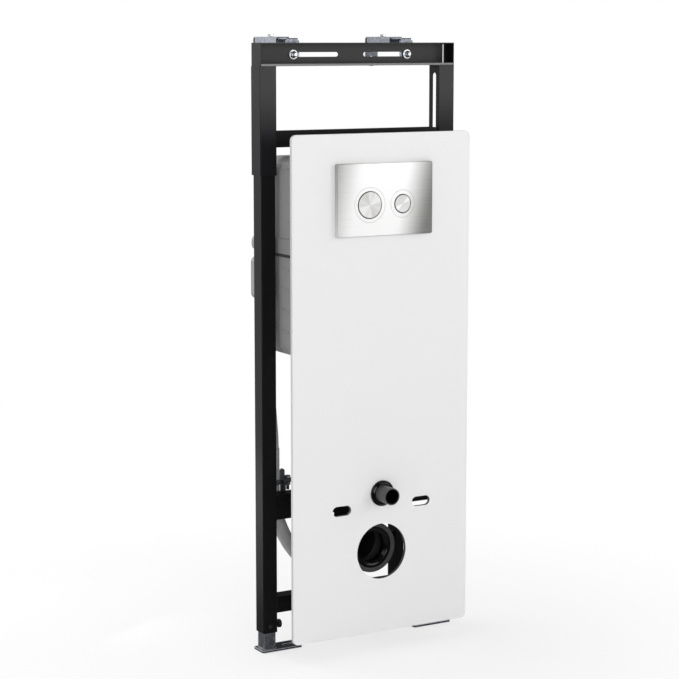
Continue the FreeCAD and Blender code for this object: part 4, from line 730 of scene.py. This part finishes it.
# A turned button: a hollow face whose depth is the dish times one less the square of the radius share,
# a quarter-round rim, the skirt and the stem behind it.
def makeButton(nodeName, rays):
    low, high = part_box(nodeName)
    centre = axisFoot(nodeName, "y")
    radius = (high.x - low.x) / 2
    rim, dish, skirtDepth, skirtShare, stem = inMetres(
        buttonLook, "rimRadius", "dish", "skirtDepth", "skirtShare", "stem")
    share = np.linspace(0, 1, 28)
    face = np.stack([low.y + dish * (1 - share ** 2), share * (radius - rim)], 1)
    turn = np.linspace(0, fullTurn / 4, 7)[1:]
    edge = np.stack([low.y + rim * (1 - np.cos(turn)), radius - rim + rim * np.sin(turn)], 1)
    skirtEnd = low.y + skirtDepth
    back = np.array([[skirtEnd, radius], [skirtEnd, stem], [high.y, stem], [high.y, 0.0]])
    outline = np.concatenate([face, edge, back])
    name = f"spun{nodeName.title().replace('_', '')}"
    material = spunMaterial(name, centre, radius - skirtShare, rays, buttonLook)
    grids = [(turnedGrid(outline, centre, "y", 144), False, True)]
    piece = meshFromGrids(f"{nodeName}_spun", grids, material, nodeName)
    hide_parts(nodeName)


makeButton("large_button", buttonLook["largeHighlightRays"])
makeButton("small_button", buttonLook["smallHighlightRays"])
print("buttons made")


# flush stub and collar

# A ring turned about y from a closed outline.
def turnedPiece(name, outline, centre, finish, steps=144, sharpAngle=32):
    grids = [(turnedGrid(outline, centre, "y", steps), True, True)]
    return meshFromGrids(name, grids, materials[finish], "frame", sharpAngle)


flushFitting = {
    "tube": 19.0,
    "wall": 2.5,
    "mouthRadius": 1.2,
    "seat": 1.0,
    "step": 0.5,
    "flange": 22.5,
    "flangeDepth": 8.0,
    "boreGap": 0.05,
    "shadeSheet": 0.2,
    "collarSteps": [(2.5, 0.0), (0.8, 2.2), (1.6, 4.0), (0.0, 6.5)],  # behind the front, in from the rim
    "collarRadius": 1.1,
}


# The stub is a turned wall with a rounded mouth, a step in the collar and a flange at its end, and inside it
# a thin dark sheet of painted shade. The collar is a turned ring with a raised bead and a cone.
def makeFlushFitting():
    low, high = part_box("flush_stub")
    centre = axisFoot("flush_stub", "y")
    collarLow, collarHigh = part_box("flush_collar")
    tube, wall, mouth, step = inMetres(flushFitting, "tube", "wall", "mouthRadius", "step")
    seat = collarLow.y - flushFitting["seat"] * mm
    flange, flangeStart = flushFitting["flange"] * mm, high.y - flushFitting["flangeDepth"] * mm
    corners = [(low.y, tube - wall), (low.y, tube), (seat, tube), (seat, tube + step),
               (flangeStart, tube + step), (flangeStart, flange), (high.y, flange), (high.y, tube - wall)]
    stub = turnedPiece("flush_stub_turned", softOutline(corners, mouth), centre, "stubGrey", 96)
    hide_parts("flush_stub")
    outside = tube - wall - flushFitting["boreGap"] * mm
    inside = outside - flushFitting["shadeSheet"] * mm
    start = low.y + mouth
    corners = np.array([[start, outside], [high.y, outside], [high.y, inside], [start, inside]])
    # A thin near-black sheet inside the stub's bore: painted shade, not a part.
    turnedPiece("flush_stub_bore_shade", corners, centre, "boreShade", 96)
    outer = (collarHigh.x - collarLow.x) / 2
    front, back = collarLow.y, collarHigh.y
    steps = [(front + depth * mm, outer - inset * mm) for depth, inset in flushFitting["collarSteps"]]
    corners = [(back, tube + step), (back, outer), *steps, (front, tube + step)]
    outline = softOutline(corners, flushFitting["collarRadius"] * mm)
    ring = turnedPiece("flush_collar_turned", outline, centre, "glossBlack", 120, 50)
    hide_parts("flush_collar")


makeFlushFitting()
print("flush fitting made")


# waste socket

wasteSocket = {
    "flange": 57.5,
    "flangeDepth": 10.0,
    "step": 47.5,
    "stepDepth": 3.0,
    "barrel": 50.0,
    "bore": 45.0,
    "cornerRadius": 1.0,
    "lip": 35.0,
    "lipWall": 2.0,
    "lipDepth": 10.0,
    "leadDepth": 1.0,
    "leadWidth": 3.0,
    "sealStart": 2.0,
    "sealOverBore": 2.0,
    "ribs": 2.5,
    "ribHeight": 1.6,
    "ribPower": 1.5,
    "shadeDepth": 27.0,
    "shadeGap": 0.1,
}


# The socket is a turned wall with rounded steps; the lip seal is a turned wall whose bore carries ribs, each
# a raised cosine of the depth; behind it a dark sheet of painted shade lines the bore.
def makeWasteSocket():
    low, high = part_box("waste_connector")
    centre = axisFoot("waste_connector", "y")
    front = low.y
    flange, step, barrel, bore = inMetres(wasteSocket, "flange", "step", "barrel", "bore")
    stepEnd, flangeEnd = (front + depth for depth in inMetres(wasteSocket, "stepDepth", "flangeDepth"))
    corners = [(stepEnd, bore), (stepEnd, step), (front, step), (front, flange),
               (flangeEnd, flange), (flangeEnd, barrel), (high.y, barrel), (high.y, bore)]
    outline = softOutline(corners, wasteSocket["cornerRadius"] * mm)
    socket = turnedPiece("waste_connector_turned", outline, centre, "connectorGrey")
    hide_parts("waste_connector")
    lip, lipWall, lipDepth, overBore = inMetres(wasteSocket, "lip", "lipWall", "lipDepth", "sealOverBore")
    lead, start = (front + depth for depth in inMetres(wasteSocket, "leadDepth", "sealStart"))
    end = start + lipDepth
    share = np.linspace(0, 1, 60)
    wave = (0.5 - 0.5 * np.cos(share * wasteSocket["ribs"] * fullTurn)) ** wasteSocket["ribPower"]
    ribs = wasteSocket["ribHeight"] * mm * wave
    inside = np.stack([start + share * lipDepth, lip + lipWall - ribs], 1)
    mouth = np.array([[lead, bore + overBore], [lead, lip + wasteSocket["leadWidth"] * mm]])
    back = np.array([[end, bore], [stepEnd, bore], [stepEnd, bore + overBore]])
    outline = np.concatenate([mouth, inside, back])
    seal = turnedPiece("waste_seal_ribbed", outline, centre, "glossBlack", sharpAngle=60)
    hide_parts("waste_seal")
    # Behind the lip a near-black sheet lines the bore: painted shade, not a part.
    rear = front + wasteSocket["shadeDepth"] * mm
    outside = bore - wasteSocket["shadeGap"] * mm
    corners = np.array([[end, lip + lipWall], [end, outside], [rear, outside], [rear, lip + lipWall]])
    turnedPiece("waste_bore_shade", corners, centre, "boreShade")


makeWasteSocket()
print("waste socket made")


# fasteners

bracketScrews = {
    "across": 13.0,
    "headHeight": 6.0,
    "clampHead": 5.0,
    "clampTail": 2.0,
    "radius": 4.0,
    "pitch": 1.25,
    "washer": 10.5,
    "washerHeight": 2.0,
    "washerEdge": 0.4,
    "webDepth": 12.0,
    "slideGap": 0.05,
}


# A bracket's screws: hexagon heads and nuts with chamfers, a washer and threaded ends. The washer slides on
# the beam's web, so it stands a little off it.
def makeBracketScrews(side):
    across, radius, pitch, head = inMetres(bracketScrews, "across", "radius", "pitch", "headHeight")
    washer, washerHeight, washerEdge = inMetres(bracketScrews, "washer", "washerHeight", "washerEdge")
    webDepth, slideGap = inMetres(bracketScrews, "webDepth", "slideGap")
    low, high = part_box(f"{side}_web_bolt")
    centre = axisFoot(f"{side}_web_bolt", "y")
    web = low.y + webDepth - slideGap
    seat = web - washerHeight
    corners = [(seat, 0.0), (seat, washer), (web, washer), (web, 0.0)]
    grids = [
        (turnedGrid(softOutline(corners, washerEdge, closed=False), centre, "y", 48), False, True),
        (hexagonGrid(centre, "y", across, seat - head, seat), False, True),
        (threadGrid(centre, "y", low.y, high.y, radius, pitch), False, True),
        (hexagonGrid(centre, "y", across, high.y - head, high.y), False, True),
    ]
    bolt = meshFromGrids(f"{side}_web_bolt_threaded", grids, materials["brightZinc"], f"{side}_bracket")
    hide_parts(f"{side}_web_bolt")
    low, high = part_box(f"{side}_clamp_screw")
    centre = axisFoot(f"{side}_clamp_screw", "z")
    neck = high.z - bracketScrews["clampHead"] * mm
    tail = low.z + bracketScrews["clampTail"] * mm
    grids = [
        (hexagonGrid(centre, "z", across, neck, high.z, chamferLow=False), False, True),
        (threadGrid(centre, "z", low.z, neck, radius, pitch), False, True),
        (hexagonGrid(centre, "z", across, tail, tail + head), False, True),
    ]
    screw = meshFromGrids(f"{side}_clamp_screw_threaded", grids, materials["brightZinc"], f"{side}_bracket")
    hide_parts(f"{side}_clamp_screw")


lockScrews = {
    "across": 17.0,
    "head": 8.0,
    "nut": 6.0,
    "reach": 17.0,
    "sunk": 1.0,
    "radius": 4.3,
    "pitch": 1.5,
    "postWall": 2.0,
    "postWidth": 35.0,
    "socket": 4.5,
    "socketDepth": 0.7,
    "bevelDepth": 0.4,
    "bevelWidth": 0.5,
    "endTip": 0.3,
    "endDepth": 1.5,
    "endRim": 3.4,
    "endHollow": 3.1,
}


# A set screw seen from its end: a round wall, a bevelled rim and a socket with six sides. The grid closes
# through a pinhole in the middle.
def setScrewGrid(centre, front, back):
    radius, socket = inMetres(lockScrews, "radius", "socket")
    bevelDepth, bevelWidth = inMetres(lockScrews, "bevelDepth", "bevelWidth")
    angle = np.linspace(0, fullTurn, 48, endpoint=False)
    inner = sixSidedRadius(socket, angle)
    outer = np.full_like(angle, radius)
    floor = front + lockScrews["socketDepth"] * (back - front)
    pinhole = 0.001
    rows = [(outer * pinhole, back), (outer, back), (outer, front + bevelDepth), (outer - bevelWidth, front),
            (inner, front), (inner, floor), (inner * pinhole, floor)]
    arrows = circleArrows(angle, *axes["y"][1:])
    return np.array([r[:, None] * arrows + np.array([centre[0], y, centre[2]]) for r, y in rows])


# The lock screws: on each post a welded nut, a threaded neck and a chamfered head at its end, a set screw in
# the post's front, and the hollow end of the screw on the post's outer side.
def makeLockScrews():
    across, head, nut, reach, sunk = inMetres(lockScrews, "across", "head", "nut", "reach", "sunk")
    radius, pitch, postWall, postWidth = inMetres(lockScrews, "radius", "pitch", "postWall", "postWidth")
    tip, depth, rim, hollow = inMetres(lockScrews, "endTip", "endDepth", "endRim", "endHollow")
    low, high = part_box("lock_screws")
    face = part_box("lower_crossbeam")[1].x
    level = (low.z + high.z) / 2
    centre = (0.0, 0.0, level)
    endOutline = np.array([[-depth, 0.0], [-depth, radius], [tip, radius], [tip, rim], [-depth / 2, hollow],
                           [-depth / 2, 0.0]])
    grids, ends = [], []
    for side in (-1, 1):
        headSpan = sorted((side * (face - reach), side * (face - reach + head)))
        nutSpan = sorted((side * (face - nut), side * face))
        neckSpan = sorted((side * (face - reach + sunk), side * (face + postWall)))
        setCentre = (side * (face + postWidth / 2), 0.0, level)
        outside = (side * (face + postWidth), 0.0, level)
        grids += [
            (hexagonGrid(centre, "x", across, *headSpan), False, True),
            (hexagonGrid(centre, "x", across, *nutSpan), False, True),
            (threadGrid(centre, "x", *neckSpan, radius, pitch), False, True),
            (setScrewGrid(setCentre, low.y, low.y + postWall), True, True),
        ]
        ends.append((turnedGrid(endOutline * (side, 1), outside, "x", 48), False, True))
    screws = meshFromGrids("lock_screws_threaded", grids, materials["blackScrew"], "frame")
    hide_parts("lock_screws")
    # The screw ends take the painted bore shade.
    meshFromGrids("lock_screw_ends", ends, materials["boreShade"], "frame")


for side in ("left", "right"):
    makeBracketScrews(side)
makeLockScrews()
print("fasteners made")


# weld beads

weldLook = {
    "beamSize": 2.6,
    "footSize": 3.0,
    "railSize": 2.0,
    "railInner": 100.0,
    "sleeveWidth": 40.0,
    "legWidth": 30.0,
    "uprightSwell": 0.5,
    "sharpAngle": 60,
}


# Each seam is its start, its end, the two ways in which the bead swells, and its size.
def weldPiece(name, seams, finish, body):
    grids = [(beadGrid(*seam), False, True) for seam in seams]
    meshFromGrids(name, grids, materials[finish], body, weldLook["sharpAngle"])


# Beads along the top and bottom of each crossbeam where it meets a post, and down its front and back, and
# along the feet and heads of the support rails.
def makeFrameWelds():
    size, railSize, railInner = inMetres(weldLook, "beamSize", "railSize", "railInner")
    upright = weldLook["uprightSwell"]
    seams = []
    for name in ("lower_crossbeam", "middle_crossbeam"):
        low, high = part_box(name)
        for side in (-1, 1):
            inward = (-side, 0, 0)
            x = side * high.x
            for z, way in ((low.z, -1), (high.z, 1)):
                seams.append(((x, low.y + size, z), (x, high.y - size, z), inward, (0, 0, way), size))
            for y, way in ((low.y, -1), (high.y, 1)):
                seams.append(((x, y, low.z), (x, y, high.z), inward, (0, way * upright, 0), size))
    low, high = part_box("support_rails")
    for side in (-1, 1):
        for x, way in ((high.x, 1), (railInner, -1)):
            for z, up in ((low.z, 1), (high.z, -1)):
                start, end = (side * x, low.y + railSize, z), (side * x, high.y - railSize, z)
                seams.append((start, end, (side * way, 0, 0), (0, 0, up), railSize))
    weldPiece("frame_welds", seams, "powderCoat", "frame")


# A bead on the inner side of each sleeve, right under the beam.
def makeTopWelds():
    size, sleeveWidth = inMetres(weldLook, "beamSize", "sleeveWidth")
    low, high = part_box("sleeves")
    seams = []
    for side in (-1, 1):
        x = side * (high.x - sleeveWidth)
        start, end = (x, low.y + size, high.z), (x, high.y - size, high.z)
        seams.append((start, end, (-side, 0, 0), (0, 0, -1), size))
    weldPiece("top_welds", seams, "topCoat", "top_section")


# Beads round the four sides of each leg where it stands on its foot plate.
def makeFootWelds():
    size, legWidth = inMetres(weldLook, "footSize", "legWidth")
    low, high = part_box("leg_tubes")
    seams = []
    for side in (-1, 1):
        xs = sorted((side * high.x, side * (high.x - legWidth)))
        for x, way in zip(xs, (-1, 1)):
            seams.append(((x, low.y, low.z), (x, high.y, low.z), (way, 0, 0), (0, 0, 1), size))
        for y, way in ((low.y, -1), (high.y, 1)):
            seams.append(((xs[0], y, low.z), (xs[1], y, low.z), (0, way, 0), (0, 0, 1), size))
    weldPiece("foot_welds", seams, "footZincShaded", "feet")


makeFrameWelds()
makeTopWelds()
makeFootWelds()
print("welds made")


# studio

studio = {
    "cameraPlace": (-2.2498, -3.8344, 1.3562),
    "yaw": 29.963,
    "pitch": -8.560,
    "lens": 105.90,
    "worldStrength": 0.30,
    "worldGloss": 0.10,
    "lampTarget": (0.0, 0.0, 0.65),
    "lamps": [  # name, place, width and height, power in watts
        ("frontLamp", (-1.6, -4.4, 1.2), 2.6, 90.0),
        ("frontCard", (1.75, -2.95, 1.45), 1.5, 18.0),
        ("leftLamp", (-3.6, 0.2, 2.0), 2.4, 20.0),
        ("rightLamp", (3.4, -1.6, 2.2), 2.0, 26.0),
        ("topLamp", (-0.4, 0.6, 4.2), 2.2, 56.0),
        ("backLamp", (-1.6, 3.4, 2.4), 2.4, 34.0),
    ],
    "postPlace": (-0.25, 0.0),
    "sideCards": [  # name, place, width, height, power in watts
        ("sideCard", (-0.72, 0.76, 0.80), 0.5, 1.58, 2.6),
        ("lowCard", (-0.43, 0.31, 0.19), 0.22, 0.34, 0.13),
    ],
    "floorSize": 12.0,
    "floorDrop": 0.4,
    "floorSockets": {"Base_Color": (0.86, 0.86, 0.86, 1), "Roughness": 0.9, "Specular_IOR_Level": 0.0},
    "whiteReach": (0.3, 1.2),
    "whiteShare": (0.7, 1.0),
}


def makeCamera():
    data = bpy.data.cameras.new("camera")
    data.lens = studio["lens"]
    data.sensor_width = 36.0
    data.clip_end = 50.0
    camera = bpy.data.objects.new("camera", data)
    bpy.context.scene.collection.objects.link(camera)
    camera.location = studio["cameraPlace"]
    camera.rotation_euler = (math.radians(90 + studio["pitch"]), 0.0, -math.radians(studio["yaw"]))
    bpy.context.scene.camera = camera
    bpy.context.scene.view_settings.view_transform = "Standard"


def makeLamp(name, place, target, power, width, height):
    data = bpy.data.lights.new(name, "AREA")
    data.shape = "RECTANGLE"
    data.size, data.size_y = width, height
    data.energy = power
    lamp = bpy.data.objects.new(name, data)
    bpy.context.scene.collection.objects.link(lamp)
    lamp.location = place
    aim = np.array(target) - np.array(place)
    flat = math.hypot(aim[0], aim[1])
    lamp.rotation_euler = (math.pi / 2 + math.atan2(aim[2], flat), 0.0, math.atan2(-aim[0], aim[1]))
    return lamp


# Large soft lamps all round, and two narrow cards behind the left post that the post's side mirrors.
def makeLamps():
    for name, place, size, power in studio["lamps"]:
        makeLamp(name, place, studio["lampTarget"], power, size, size)
    for name, place, width, height, power in studio["sideCards"]:
        card = makeLamp(name, place, (*studio["postPlace"], place[2]), power, width, height)
        card.visible_camera = False


# The world is plain white to the camera, dark in reflections, and a gentle light to matt surfaces.
def makeWorld():
    world = bpy.data.worlds.new("world")
    bpy.context.scene.world = world
    world.use_nodes = True
    tree = world.node_tree
    back = tree.nodes["Background"]
    back.inputs["Color"].default_value = (1, 1, 1, 1)
    rays = tree.nodes.new("ShaderNodeLightPath")
    seen = mathNode(tree, "MAXIMUM", rays.outputs["Is Camera Ray"], rays.outputs["Is Transmission Ray"])
    gloss = mathNode(tree, "MULTIPLY", rays.outputs["Is Glossy Ray"], studio["worldGloss"])
    matt = mathNode(tree, "MULTIPLY", mathNode(tree, "SUBTRACT", 1.0, rays.outputs["Is Glossy Ray"]),
                    studio["worldStrength"])
    unseen = mathNode(tree, "ADD", gloss, matt)
    tree.links.new(mathNode(tree, "MAXIMUM", seen, unseen), back.inputs["Strength"])


# A pale floor that keeps the shadow near the object and fades into the white round it.
def makeFloor():
    size = studio["floorSize"]
    corners = [(-size, -size, 0), (size, -size, 0), (size, size, 0), (-size, size, 0)]
    mesh = bpy.data.meshes.new("floor")
    mesh.from_pydata(corners, [], [(0, 1, 2, 3)])
    floor = bpy.data.objects.new("floor", mesh)
    bpy.context.scene.collection.objects.link(floor)
    floor.location = (0, 0, -studio["floorDrop"] * mm)
    material, tree, shader = newMaterial("paleFloor", **studio["floorSockets"])
    where = tree.nodes.new("ShaderNodeTexCoord")
    distance = node(tree, "ShaderNodeVectorMath", operation="LENGTH")
    tree.links.new(where.outputs["Object"], distance.inputs[0])
    fade = smoothShare(tree, distance.outputs["Value"], *studio["whiteReach"], *studio["whiteShare"])
    rays = tree.nodes.new("ShaderNodeLightPath")
    white = tree.nodes.new("ShaderNodeEmission")
    white.inputs["Color"].default_value = (1, 1, 1, 1)
    gloss = mathNode(tree, "MULTIPLY", rays.outputs["Is Glossy Ray"], studio["worldGloss"])
    tree.links.new(mathNode(tree, "MAXIMUM", rays.outputs["Is Camera Ray"], gloss), white.inputs["Strength"])
    seen = mathNode(tree, "MAXIMUM", rays.outputs["Is Camera Ray"], rays.outputs["Is Glossy Ray"])
    mixed = tree.nodes.new("ShaderNodeMixShader")
    tree.links.new(mathNode(tree, "MULTIPLY", fade, seen), mixed.inputs["Fac"])
    tree.links.new(shader.outputs[0], mixed.inputs[1])
    tree.links.new(white.outputs[0], mixed.inputs[2])
    tree.links.new(mixed.outputs[0], tree.nodes["Material Output"].inputs["Surface"])
    mesh.materials.append(material)


makeCamera()
makeLamps()
makeWorld()
makeFloor()
print("studio made")
